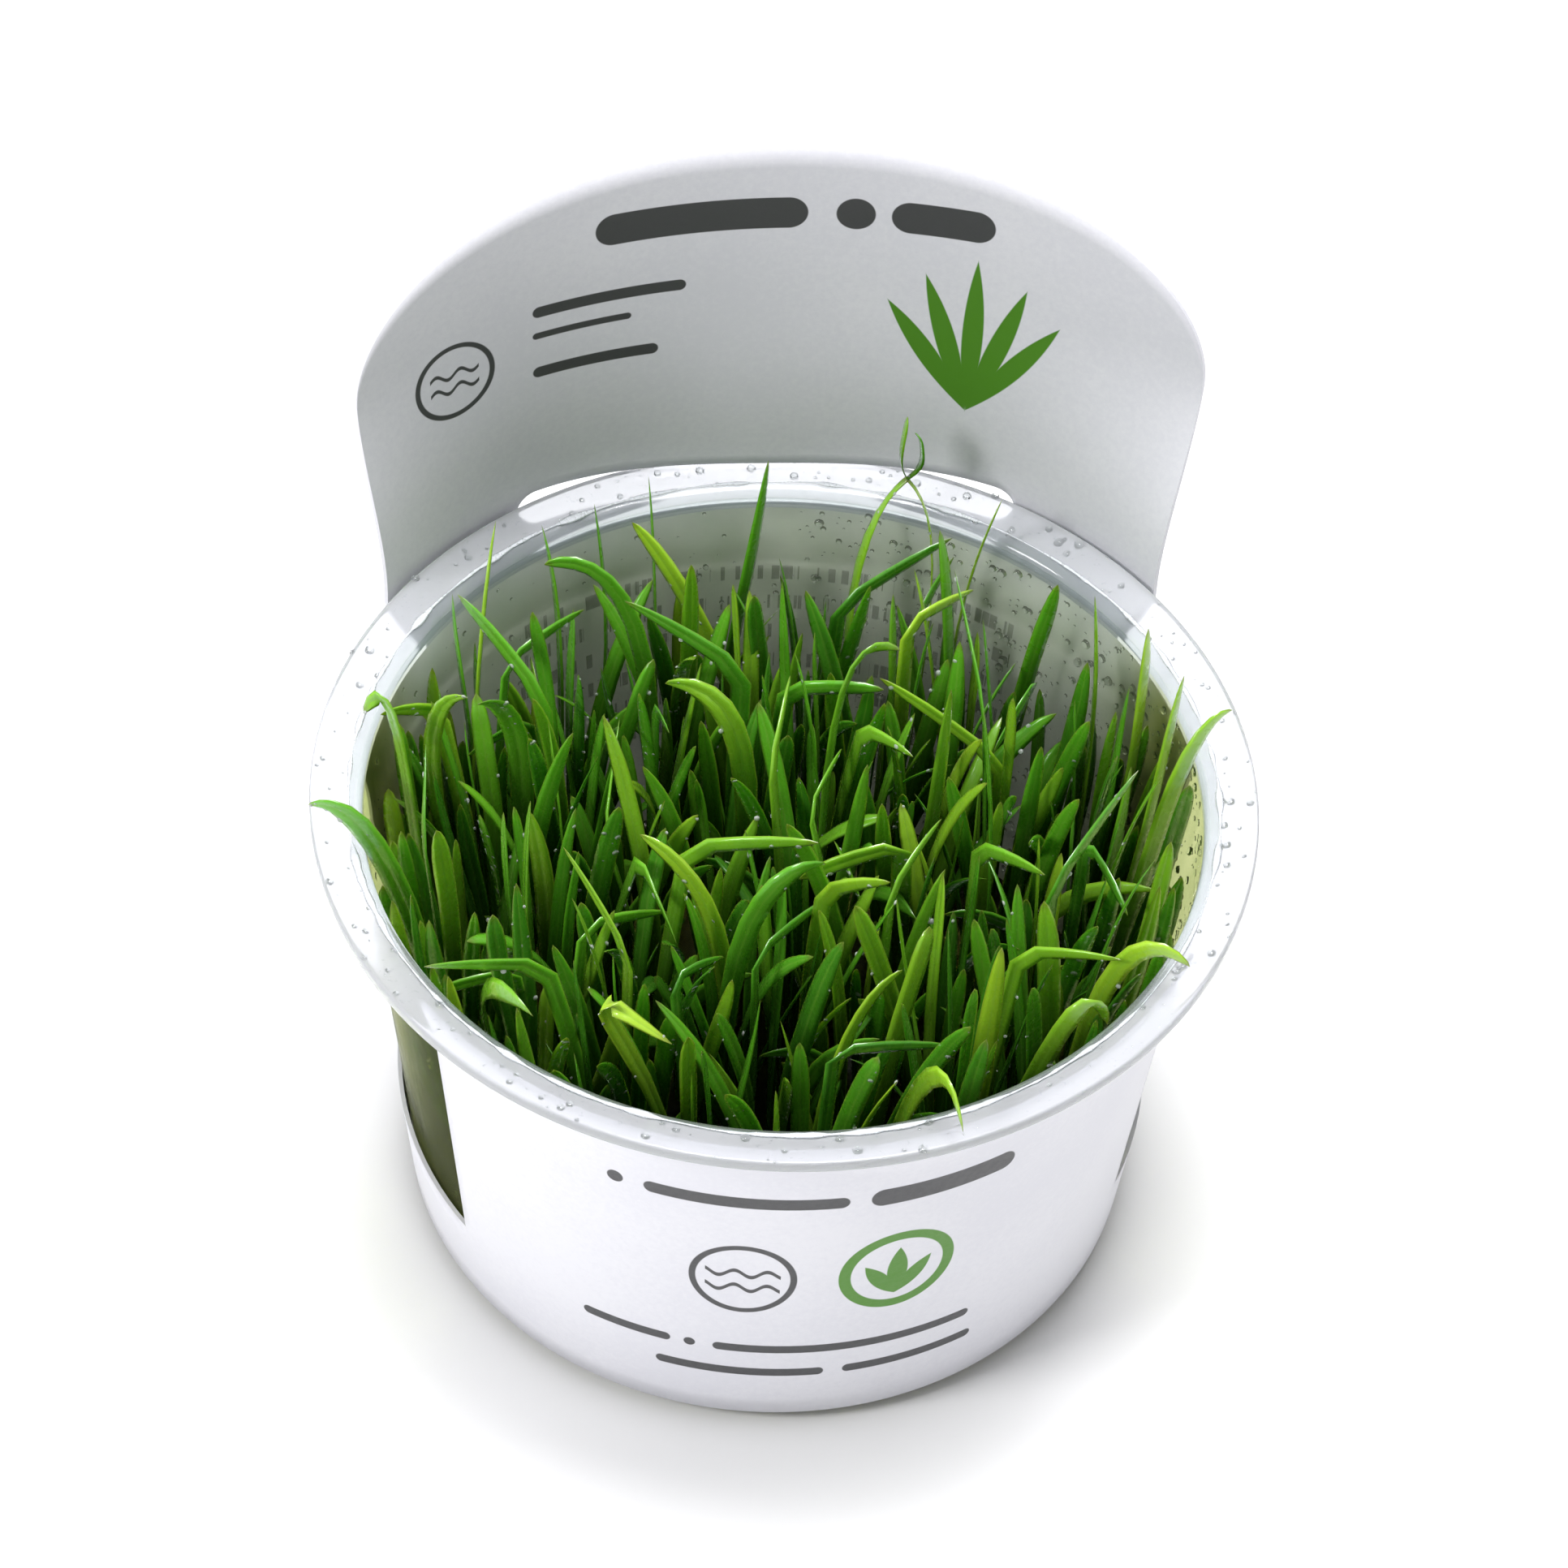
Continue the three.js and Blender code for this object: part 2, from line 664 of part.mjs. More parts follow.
addPiece('cup', cupGeometry(), cupPlastic);
addPiece('gel', gelGeometry(), gelMaterial);
addPiece('sleeve', sleeveGeometry(), cardMaterial);

const crowns = crownPlaces();
const leaves = growLeaves(crowns);
crowns.forEach((place, crown) => {
  const name = `plantlet_${String(crown + 1).padStart(2, '0')}`;
  const own = leaves.filter((leaf) => leaf.crown === crown);
  addPiece(name, plantletGeometry(place, own), leafMaterials[crown % leafMaterials.length]);
});

export default object;
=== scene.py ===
# %% [markdown]
# # A culture cup of small grass-like water plants
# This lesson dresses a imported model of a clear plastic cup. Plants grow in it on a nutrient
# gel, and a white card sleeve with a tall header goes round it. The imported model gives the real
# sizes in metres. Each step below makes one piece or one finish and says why it is made that way.

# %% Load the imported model
import math

import bpy
import numpy as np
from mathutils import Matrix, Vector


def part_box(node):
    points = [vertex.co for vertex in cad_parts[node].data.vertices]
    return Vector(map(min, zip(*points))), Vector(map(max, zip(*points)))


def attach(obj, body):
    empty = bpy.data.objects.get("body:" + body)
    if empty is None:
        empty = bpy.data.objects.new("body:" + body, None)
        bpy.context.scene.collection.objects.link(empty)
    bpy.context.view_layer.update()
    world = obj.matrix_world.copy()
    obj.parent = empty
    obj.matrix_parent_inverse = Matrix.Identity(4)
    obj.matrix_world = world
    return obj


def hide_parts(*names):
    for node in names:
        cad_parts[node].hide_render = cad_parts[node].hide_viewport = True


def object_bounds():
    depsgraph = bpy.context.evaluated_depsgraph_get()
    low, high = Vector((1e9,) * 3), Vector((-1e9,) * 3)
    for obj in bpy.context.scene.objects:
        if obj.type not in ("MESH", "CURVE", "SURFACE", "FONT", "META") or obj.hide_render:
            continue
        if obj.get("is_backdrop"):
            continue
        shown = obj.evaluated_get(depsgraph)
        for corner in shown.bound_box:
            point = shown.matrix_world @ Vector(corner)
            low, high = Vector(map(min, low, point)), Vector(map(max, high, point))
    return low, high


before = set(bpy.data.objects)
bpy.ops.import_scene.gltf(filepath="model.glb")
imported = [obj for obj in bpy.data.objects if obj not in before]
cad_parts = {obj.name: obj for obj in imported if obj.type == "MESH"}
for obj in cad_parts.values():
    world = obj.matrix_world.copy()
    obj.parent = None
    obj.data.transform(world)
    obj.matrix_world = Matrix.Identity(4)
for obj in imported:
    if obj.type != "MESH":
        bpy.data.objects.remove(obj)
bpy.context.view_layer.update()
MM = 0.001

# %% [markdown]
# ## The camera
# The cup is seen from above at about 48 degrees, a little from its left, with a long lens, so
# that its rim is nearly a true ellipse. The camera's three axes are worked out from the azimuth,
# the elevation and a small roll, which is clearer than a rotation in Euler angles.

# %% Camera
RIM_LEVEL = 57.5 * MM
VIEW_AZIMUTH = math.radians(-6.7)
VIEW_ELEVATION = math.radians(48.23)
VIEW_ROLL = math.radians(3.14)
VIEW_DISTANCE = 567.2 * MM
VIEW_OFFSET = (-0.16 * MM, 0.90 * MM)
LENS = 123.6


def camera_axes(azimuth, elevation):
    """Right, up and back of a camera that looks at the cup's axis."""
    back = Vector((math.sin(azimuth) * math.cos(elevation),
                   -math.cos(azimuth) * math.cos(elevation), math.sin(elevation)))
    right = Vector((math.cos(azimuth), math.sin(azimuth), 0))
    return right, back.cross(right), back


right, up, back = camera_axes(VIEW_AZIMUTH, VIEW_ELEVATION)
camera_data = bpy.data.cameras.new("camera")
camera_data.lens = LENS
camera_data.sensor_width = 36
camera_data.clip_start = 0.02
camera_data.clip_end = 20
camera = bpy.data.objects.new("camera", camera_data)
bpy.context.scene.collection.objects.link(camera)
place = Vector((0, 0, RIM_LEVEL)) + back * VIEW_DISTANCE
place += right * VIEW_OFFSET[0] + up * VIEW_OFFSET[1]
rolled_right = right * math.cos(VIEW_ROLL) + up * math.sin(VIEW_ROLL)
rolled_up = back.cross(rolled_right)
turn = Matrix((rolled_right, rolled_up, back)).transposed()
camera.matrix_world = Matrix.Translation(place) @ turn.to_4x4()
bpy.context.scene.camera = camera
print("camera in mm:", [round(v / MM, 1) for v in place])

# %% [markdown]
# ## Helpers for materials
# A procedural material is a small graph of nodes. These helpers keep each graph to a few lines:
# one adds a node and links what it is given, one does arithmetic, and one starts a Principled
# shader whose plain numbers are set on its own sockets, so that an export finds them there.

# %% Material helpers


def add(tree, kind, inputs=(), **settings):
    """A new node with its settings and inputs. An input is a value or another node's socket."""
    node = tree.nodes.new(kind)
    for name, value in settings.items():
        setattr(node, name, value)
    for key, value in dict(inputs).items():
        if isinstance(value, bpy.types.NodeSocket):
            tree.links.new(value, node.inputs[key])
        else:
            node.inputs[key].default_value = value
    return node


def calc(tree, operation, a, b=0.0):
    """One Math node's result."""
    return add(tree, "ShaderNodeMath", {0: a, 1: b}, operation=operation).outputs[0]


def blend_colors(tree, share, one, other):
    """The colour between one and other at a share from 0 to 1."""
    node = add(tree, "ShaderNodeMix", data_type="RGBA")
    for index, value in ((0, share), (6, one), (7, other)):
        if isinstance(value, bpy.types.NodeSocket):
            tree.links.new(value, node.inputs[index])
        elif index == 0:
            node.inputs[index].default_value = value
        else:
            node.inputs[index].default_value = (*value, 1)
    return node.outputs[2]


def ramp(tree, value, low, high, to_low=0.0, to_high=1.0):
    """A value from low to high, smoothly brought to another range."""
    node = add(tree, "ShaderNodeMapRange", {0: value, 1: low, 2: high, 3: to_low, 4: to_high},
               interpolation_type="SMOOTHSTEP")
    return node.outputs[0]


def noise(tree, vector, scale, detail=3.0, roughness=0.5):
    """Soft random values about 0.5 at each place."""
    node = add(tree, "ShaderNodeTexNoise",
               {"Vector": vector, "Scale": scale, "Detail": detail, "Roughness": roughness})
    return node.outputs[0]


def new_material(name, **principled):
    """A material with one Principled shader; names are its sockets, with _ for a space."""
    material = bpy.data.materials.new(name)
    material.use_nodes = True
    tree = material.node_tree
    shader = next(n for n in tree.nodes if n.type == "BSDF_PRINCIPLED")
    for key, value in principled.items():
        shader.inputs[key.replace("_", " ")].default_value = value
    return material, tree, shader


def object_coordinates(tree):
    """Places on the object in metres, which stay with it when it moves."""
    return add(tree, "ShaderNodeTexCoord").outputs["Object"]


def give_relief(tree, shader, height, strength, distance):
    """Fine bumps by a height from 0 to 1, in metres at full height."""
    bump = add(tree, "ShaderNodeBump",
               {"Height": height, "Strength": strength, "Distance": distance})
    tree.links.new(bump.outputs[0], shader.inputs["Normal"])


# %% [markdown]
# ## The studio
# The cup stands on a white table in soft light from above, as for a catalogue. A large lamp high
# above and behind makes the table white and gives the wet leaves their gleam. Upright faces, such
# as the card, get only half of the world's light and what the table sends back, so the card
# stays a shade darker than the table. A weak lamp on the left lights the right of the header.

# %% Studio
world = bpy.data.worlds.new("studio")
world.use_nodes = True
sky = world.node_tree.nodes["Background"]
sky.inputs["Color"].default_value = (1, 1, 1, 1)
sky.inputs["Strength"].default_value = 0.45
bpy.context.scene.world = world
bpy.context.scene.view_settings.view_transform = "Standard"


def soft_lamp(name, position, target, size, watts):
    """A square lamp that shines from a position towards a target."""
    lamp = bpy.data.lights.new(name, "AREA")
    lamp.size = size
    lamp.energy = watts
    holder = bpy.data.objects.new(name, lamp)
    bpy.context.scene.collection.objects.link(holder)
    holder.location = position
    aim = Vector(target) - Vector(position)
    holder.rotation_euler = aim.to_track_quat("-Z", "Y").to_euler()
    print(name, "of", watts, "W")


soft_lamp("lamp_above", (0.10, 0.25, 1.75), (0, 0, 0.04), 0.75, 33.0)
soft_lamp("lamp_left", (-0.90, -0.35, 0.80), (0, 0, 0.05), 0.30, 7.0)

FLOOR_HALF = 3.0
floor_mesh = bpy.data.meshes.new("table_top")
floor_mesh.from_pydata(
    [(-FLOOR_HALF, -FLOOR_HALF, 0), (FLOOR_HALF, -FLOOR_HALF, 0),
     (FLOOR_HALF, FLOOR_HALF, 0), (-FLOOR_HALF, FLOOR_HALF, 0)], [], [(0, 1, 2, 3)])
table_top = bpy.data.objects.new("table_top", floor_mesh)
bpy.context.scene.collection.objects.link(table_top)
table_white, _, _ = new_material("table_white", Base_Color=(0.95, 0.95, 0.95, 1), Roughness=0.7)
floor_mesh.materials.append(table_white)
table_top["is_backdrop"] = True

# %% [markdown]
# ## The cup
# The cup is one injection moulded piece of clear, slightly milky plastic: a tapered wall, a
# ledge for a lid near the mouth and a broad flange round it. A moulded round piece is a profile
# turned about an axis, so one list of radius and height makes the whole closed wall, with small
# rounds at its corners. The same helper turns the gel.

# %% Turned pieces
TURNED_SIDES, ROUND_STEPS = 160, 3


def rounded(profile, radius):
    """The profile with its inner corners cut to short arcs of about this size."""
    points = [Vector((*p, 0)) for p in profile]
    out = [points[0]]
    for before, here, after in zip(points, points[1:], points[2:]):
        cut = min(radius, (here - before).length / 2.5, (after - here).length / 2.5)
        start = here + (before - here).normalized() * cut
        end = here + (after - here).normalized() * cut
        for step in range(ROUND_STEPS + 1):
            t = step / ROUND_STEPS
            out.append(start * (1 - t) ** 2 + here * 2 * t * (1 - t) + end * t * t)
    out.append(points[-1])
    return [(p.x, p.y) for p in out]


def turned_mesh(name, profile, sides=TURNED_SIDES):
    """A closed mesh of a profile in millimetres, from axis to axis, turned about Z."""
    vertices = [(0, 0, profile[0][1] * MM)]
    rings = profile[1:-1]
    for radius, height in rings:
        for k in range(sides):
            angle = 2 * math.pi * k / sides
            vertices.append((radius * math.sin(angle) * MM, radius * math.cos(angle) * MM,
                             height * MM))
    vertices.append((0, 0, profile[-1][1] * MM))
    last = len(vertices) - 1
    faces = []
    for k in range(sides):
        n = (k + 1) % sides
        faces.append((0, 1 + k, 1 + n))
        for ring in range(len(rings) - 1):
            a, b = 1 + ring * sides, 1 + (ring + 1) * sides
            faces.append((a + k, b + k, b + n, a + n))
        a = 1 + (len(rings) - 1) * sides
        faces.append((a + k, last, a + n))
    mesh = bpy.data.meshes.new(name)
    mesh.from_pydata(vertices, [], faces)
    mesh.polygons.foreach_set("use_smooth", [True] * len(mesh.polygons))
    mesh.update()
    return mesh


def new_piece(name, mesh, *materials):
    """An object at the origin with that mesh and those materials."""
    piece = bpy.data.objects.new(name, mesh)
    bpy.context.scene.collection.objects.link(piece)
    for material in materials:
        mesh.materials.append(material)
    return piece


# %% [markdown]
# The cup's sizes come first, in millimetres, because the gel, the card and the leaves are all
# placed by them. The profile goes along the underside with its ring groove, up the outer wall,
# over the flange and the lip, and back down inside past the ledge to the floor.

# %% Cup sizes
RIM_RADIUS, RIM_TOP = 50.0, 58.4
MOUTH_RADIUS, MOUTH_TOP = 44.4, 57.5
LEDGE_RADIUS, LEDGE_TOP = 43.6, 47.2
WALL_TOP_RADIUS, WALL_TOP = 44.95, 55.9
WALL_BASE_RADIUS, WALL_BASE = 39.4, 1.0
INNER_FLOOR_RADIUS, INNER_FLOOR = 39.0, 2.4
FLOOR_THICKNESS = 1.1
WALL_SLOPE = (WALL_TOP_RADIUS - WALL_BASE_RADIUS) / (WALL_TOP - WALL_BASE)
INNER_SLOPE = (LEDGE_RADIUS - INNER_FLOOR_RADIUS) / (LEDGE_TOP - INNER_FLOOR)


def outer_wall(z):
    """The outer wall's radius at a height."""
    return WALL_BASE_RADIUS + (z - WALL_BASE) * WALL_SLOPE


def inner_wall(z):
    """The inner wall's radius at a height."""
    if z > LEDGE_TOP:
        return MOUTH_RADIUS - 0.3
    return INNER_FLOOR_RADIUS + (z - INNER_FLOOR) * INNER_SLOPE


BASE_GROOVE = [(30.5, 0), (31.3, 0.5), (34.2, 0.5), (35, 0)]
cup_profile = rounded([
    (0, 0), *BASE_GROOVE, (38.4, 0), (WALL_BASE_RADIUS, WALL_BASE),
    (WALL_TOP_RADIUS, WALL_TOP), (RIM_RADIUS - 0.9, 56.6), (RIM_RADIUS, 56.9),
    (RIM_RADIUS, RIM_TOP), (MOUTH_RADIUS + 1.3, MOUTH_TOP), (MOUTH_RADIUS + 0.3, MOUTH_TOP - 0.5),
    (MOUTH_RADIUS, MOUTH_TOP - 1.8), (MOUTH_RADIUS - 0.3, LEDGE_TOP),
    (LEDGE_RADIUS, LEDGE_TOP - 0.7), (INNER_FLOOR_RADIUS, INNER_FLOOR),
    (INNER_FLOOR_RADIUS - 1.6, FLOOR_THICKNESS), (0, FLOOR_THICKNESS)], 0.45)
cup_mesh = turned_mesh("clear_cup", cup_profile)
print("cup:", len(cup_mesh.polygons), "faces")

# %% [markdown]
# Clear polypropylene scatters a little light inside, so the cup's finishes all transmit light and
# have some roughness. The thick flange is milky and the lip round the mouth is clear and faintly
# blue, with its colour darkened as a painted shade for the shaded gap outside that shows through
# it. The thin wall is wet inside, which hides most of its reflections, so it gets a lower IOR than
# dry plastic. At the sides and the front its colour is painted a streaked olive, a painted shade
# for the shaded plants that show through it there.

# %% Cup plastic
FLANGE_FROM, LIP_FROM, LIP_RADIUS = 56.0, 54.2, 45.9


def clear_plastic(name, smallest_roughness, largest_roughness, **principled):
    """A transmitting plastic whose roughness varies softly over it."""
    material, tree, shader = new_material(name, **principled)
    where = object_coordinates(tree)
    tree.links.new(ramp(tree, noise(tree, where, 160, 4), 0.3, 0.7, smallest_roughness,
                        largest_roughness), shader.inputs["Roughness"])
    give_relief(tree, shader, noise(tree, where, 260, 2), 0.05, 0.0006)
    return material, tree, shader, where


OLIVE_FROM, OLIVE_FULL = 26 * MM, 12 * MM
OLIVE_DARK, OLIVE_PALE = (0.36, 0.41, 0.16), (0.52, 0.56, 0.27)
WALL_DIM, WALL_PALE = (0.90, 0.94, 0.82), (0.95, 0.98, 0.89)
cup_wall, tree, shader, where = clear_plastic(
    "cup_wall", 0.14, 0.26, Base_Color=(0.90, 0.94, 0.84, 1), Roughness=0.20, IOR=1.015,
    Transmission_Weight=0.85)
damp = ramp(tree, noise(tree, where, 90, 5, 0.6), 0.35, 0.68)
# Painted shade: at the front and the sides the wall's colour is blended to a streaked olive, which
# stands for the shaded plants seen through it, and more light goes through there.
parts = add(tree, "ShaderNodeSeparateXYZ", {"Vector": where})
olive = ramp(tree, parts.outputs["Y"], OLIVE_FULL, OLIVE_FROM, 1.0, 0.0)
streaks = add(tree, "ShaderNodeMapping", {"Vector": where, "Scale": (1.0, 1.0, 0.12)})
painted_shade_streaks = ramp(tree, noise(tree, streaks.outputs[0], 150, 3), 0.35, 0.70)
painted_plant_shade = blend_colors(tree, painted_shade_streaks, OLIVE_DARK, OLIVE_PALE)
clean_wall = blend_colors(tree, damp, WALL_DIM, WALL_PALE)
tree.links.new(blend_colors(tree, olive, clean_wall, painted_plant_shade), shader.inputs["Base Color"])
see_through = ramp(tree, olive, 0.0, 1.0, 0.82, 0.93)
tree.links.new(see_through, shader.inputs["Transmission Weight"])
# The lip's darker blue-grey base colour is a painted shade for the shaded gap seen through it.
cup_lip, tree, shader, where = clear_plastic(
    "cup_lip", 0.10, 0.20, Base_Color=(0.64, 0.69, 0.71, 1), Roughness=0.15, IOR=1.49,
    Transmission_Weight=0.82)
cup_flange, tree, shader, where = clear_plastic(
    "cup_flange", 0.10, 0.22, Base_Color=(0.84, 0.85, 0.89, 1), Roughness=0.16, IOR=1.40,
    Transmission_Weight=0.64)
specks = ramp(tree, noise(tree, where, 1300, 3, 0.7), 0.60, 0.72)
tree.links.new(blend_colors(tree, specks, (0.84, 0.85, 0.89), (0.74, 0.76, 0.80)),
               shader.inputs["Base Color"])

cup = new_piece("clear_cup", cup_mesh, cup_wall, cup_lip, cup_flange)
for polygon in cup_mesh.polygons:
    centre = polygon.center / MM
    if centre.z > LIP_FROM and centre.xy.length < LIP_RADIUS:
        polygon.material_index = 1
    elif centre.z > FLANGE_FROM:
        polygon.material_index = 2
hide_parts("cup")
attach(cup, "root")
print("cup finishes:", [material.name for material in cup_mesh.materials])

# %% [markdown]
# ## The gel
# The plants stand in a clear jelly with food for them, tinted olive by what has grown in it. It
# is turned like the cup, with a raised edge where it wets the wall. Its tint varies softly in
# clouds.

# %% Gel
GEL_TOP, GEL_GAP = 11.0, 0.4
gel_low = FLOOR_THICKNESS + GEL_GAP
gel_profile = rounded([
    (0, gel_low), (inner_wall(gel_low) - 1.9, gel_low), (inner_wall(GEL_TOP) - GEL_GAP, GEL_TOP),
    (inner_wall(GEL_TOP) - 1.4, GEL_TOP - 0.35), (0, GEL_TOP - 0.45)], 0.3)
gel_mesh = turned_mesh("nutrient_gel", gel_profile, 96)
gel_jelly, tree, shader = new_material(
    "gel_jelly", Base_Color=(0.42, 0.42, 0.18, 1), Roughness=0.12, IOR=1.34,
    Transmission_Weight=1.0)
where = object_coordinates(tree)
cloud = ramp(tree, noise(tree, where, 120, 4), 0.35, 0.7)
tree.links.new(blend_colors(tree, cloud, (0.30, 0.30, 0.12), (0.52, 0.52, 0.26)),
               shader.inputs["Base Color"])
gel = new_piece("nutrient_gel", gel_mesh, gel_jelly)
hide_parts("gel")
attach(gel, "root")
print("gel:", len(gel_mesh.polygons), "faces")

# %% [markdown]
# ## The card sleeve
# The sleeve is one die cut card. A low band goes all round, a front panel and a back panel rise
# from it, and the back panel goes on above the rim as a tall header. The cup's flange pokes out
# through a slot in it. The card's inner face is a formula of azimuth and height: it follows the
# cup's wall, and at the back it swings out round the rim and flattens into the header. The
# shoulders beside the header and the front panel stay under the flange. A fine grid on that
# surface, cut to the outlines, gets its thickness at the end.

# %% Card surface
CARD_THICKNESS, CARD_GAP = 0.45, 0.3
SLEEVE_BOTTOM, BAND_TOP = 2.0, 14.0
FRONT_PANEL_TOP = 55.2
FRONT_HALF = math.radians(59)
SLOT_LOW, SLOT_HIGH = 54.2, 58.9
SLOT_HALF = math.radians(33)
SLOT_END = 2.35
HEADER_HALF_WIDTH = 48.4
HEADER_SIDE_TOP, HEADER_TOP = 81.5, 103.5
HEADER_EXPONENT = 2.3
HEADER_LEAN, HEADER_CURVE, HEADER_MIDDLE = 0.04, 75.0, 48.0
SLOT_FLATTENING, FLATTENED_HALF = 3.0, math.radians(36)
CARD_OUTSIDE_RIM, FRONT_CURL = 50.7, 1.2
SWING_FROM, SWING_RISE, HEADER_EASING = 48.5, 7.5, 26.0
SHOULDER_HALF, SHOULDER_TOP, SHOULDER_EASING = math.radians(80), 52.525, math.radians(12)
BACK_TURN, FRONT_TURN = math.radians(1.6), math.radians(2.0)
HEADER_HALF = HEADER_HALF_WIDTH / RIM_RADIUS


def smooth(x):
    """A soft step from 0 to 1."""
    t = min(1.0, max(0.0, x))
    return t * t * (3 - 2 * t)


def lerp(a, b, t):
    """The value at a share t of the way from a to b."""
    return a + (b - a) * t


def angle_from_back(azimuth):
    """How far an azimuth is from the back panel's middle, either way round."""
    turned = abs(azimuth - BACK_TURN)
    return min(turned, 2 * math.pi - turned)


def card_point(azimuth, z):
    """The card's inner face, in millimetres, at an azimuth from +Y towards +X."""
    cone = outer_wall(z) + CARD_GAP
    back = angle_from_back(azimuth)
    rim = CARD_OUTSIDE_RIM - SLOT_FLATTENING * (1 - smooth(back / FLATTENED_HALF))
    rim = lerp(rim, cone + FRONT_CURL, smooth((back - HEADER_HALF) / SHOULDER_EASING))
    if z <= SLOT_HIGH:
        radius = lerp(cone, rim, smooth((z - SWING_FROM) / SWING_RISE))
        return np.array((radius * math.sin(azimuth), radius * math.cos(azimuth), z))
    along = (azimuth - BACK_TURN) * RIM_RADIUS / HEADER_CURVE
    middle = HEADER_MIDDLE + HEADER_LEAN * (z - MOUTH_TOP)
    x = HEADER_CURVE * math.sin(along) + BACK_TURN * RIM_RADIUS
    y = middle - HEADER_CURVE * (1 - math.cos(along))
    w = smooth((z - SLOT_HIGH) / HEADER_EASING)
    return np.array((lerp(rim * math.sin(azimuth), x, w), lerp(rim * math.cos(azimuth), y, w), z))


def card_normal(azimuth, z):
    """The way out of the card, from the surface's slopes along it and up it."""
    step = 0.01
    across = card_point(azimuth + step, z) - card_point(azimuth - step, z)
    rise = card_point(azimuth, z + step) - card_point(azimuth, z - step)
    normal = np.cross(rise, across)
    return normal / np.linalg.norm(normal)


def header_edge(azimuth):
    """The height of the arched header's edge."""
    share = min(1.0, abs(azimuth - BACK_TURN) / HEADER_HALF)
    rise = (1 - share ** HEADER_EXPONENT) ** (1 / HEADER_EXPONENT)
    return HEADER_SIDE_TOP + (HEADER_TOP - HEADER_SIDE_TOP) * rise


def slot_half_height(azimuth):
    """Half the slot's height, which closes in a round at either end."""
    beyond = SLOT_HALF - abs(azimuth - BACK_TURN)
    reach = min(1.0, max(0.0, beyond * RIM_RADIUS / SLOT_END))
    return (SLOT_HIGH - SLOT_LOW) / 2 * math.sqrt(1 - (1 - reach) ** 2)


print("header in mm:", 2 * HEADER_HALF_WIDTH, "wide, top at", HEADER_TOP)

# %% [markdown]
# The grid's columns stand at chosen azimuths, so that the outlines fall on columns and the round
# ends of the slot and the header get close ones. Patches of quads between two outlines fill the
# band, the panels and the header. A second layer along the normals gives the card its thickness,
# and every edge that only one quad uses is closed with a side face.

# %% Card mesh


def eased(start, stop, count):
    """Values from start to stop, close together near the start."""
    return [lerp(start, stop, (i / count) ** 2) for i in range(count + 1)]


def even(start, stop, count):
    """Evenly spaced values from start to stop."""
    return [lerp(start, stop, i / count) for i in range(count + 1)]


slot_left, slot_right = BACK_TURN - SLOT_HALF, BACK_TURN + SLOT_HALF
slot_round = SLOT_END / RIM_RADIUS
front_middle = math.pi - FRONT_TURN
stops = [
    *eased(BACK_TURN - HEADER_HALF, slot_left, 26),
    *eased(slot_left, slot_left + slot_round, 7)[1:],
    *even(slot_left + slot_round, slot_right - slot_round, 46)[1:],
    *eased(slot_right, slot_right - slot_round, 7)[::-1][1:],
    *eased(BACK_TURN + HEADER_HALF, slot_right, 26)[::-1][1:],
    *even(BACK_TURN + HEADER_HALF, BACK_TURN + SHOULDER_HALF, 12)[1:],
    *even(BACK_TURN + SHOULDER_HALF, front_middle - FRONT_HALF, 16)[1:],
    *even(front_middle - FRONT_HALF, front_middle + FRONT_HALF, 64)[1:],
    *even(front_middle + FRONT_HALF, 2 * math.pi + BACK_TURN - SHOULDER_HALF, 16)[1:],
    *even(2 * math.pi + BACK_TURN - SHOULDER_HALF, 2 * math.pi + BACK_TURN - HEADER_HALF, 12)[1:-1],
]
columns = len(stops)
HEADER_MIDROW = 70.0
slot_middle = (SLOT_LOW + SLOT_HIGH) / 2
card_known, card_inner, card_outer, card_places = {}, [], [], []


def card_vertex(column, z):
    """The number of the vertex pair at a column and height."""
    key = (column % columns, round(z, 3))
    if key not in card_known:
        azimuth = stops[column % columns]
        point, normal = card_point(azimuth, z), card_normal(azimuth, z)
        card_known[key] = len(card_inner)
        card_inner.append(point * MM)
        card_outer.append((point + normal * CARD_THICKNESS) * MM)
        card_places.append((azimuth, z))
    return card_known[key]


def card_patch(column, low, high, rows):
    """A strip of quads between two columns, from one outline to another."""
    ends = (stops[column % columns], stops[(column + 1) % columns])
    quads = []
    for row in range(rows):
        quad = []
        for end, share in ((0, row), (1, row), (1, row + 1), (0, row + 1)):
            z = lerp(low(ends[end]), high(ends[end]), share / rows)
            quad.append(card_vertex(column + end, z))
        quads.append(list(dict.fromkeys(quad)))
    return quads


def within(column, half, angle=angle_from_back):
    """Whether both sides of a column lie within an angle."""
    return all(angle(stops[k % columns]) <= half + 1e-6 for k in (column, column + 1))


def angle_from_front(azimuth):
    """How far an azimuth is from the front panel's middle."""
    return abs(azimuth - front_middle)


def level(z):
    """An outline that stays at one height."""
    return lambda azimuth: z


def slot_floor(azimuth):
    """The slot's lower edge."""
    return slot_middle - slot_half_height(azimuth)


def slot_roof(azimuth):
    """The slot's upper edge."""
    return slot_middle + slot_half_height(azimuth)


def header_midrow(azimuth):
    """A level line through the header, or the header's edge where that is lower."""
    return min(header_edge(azimuth), HEADER_MIDROW)


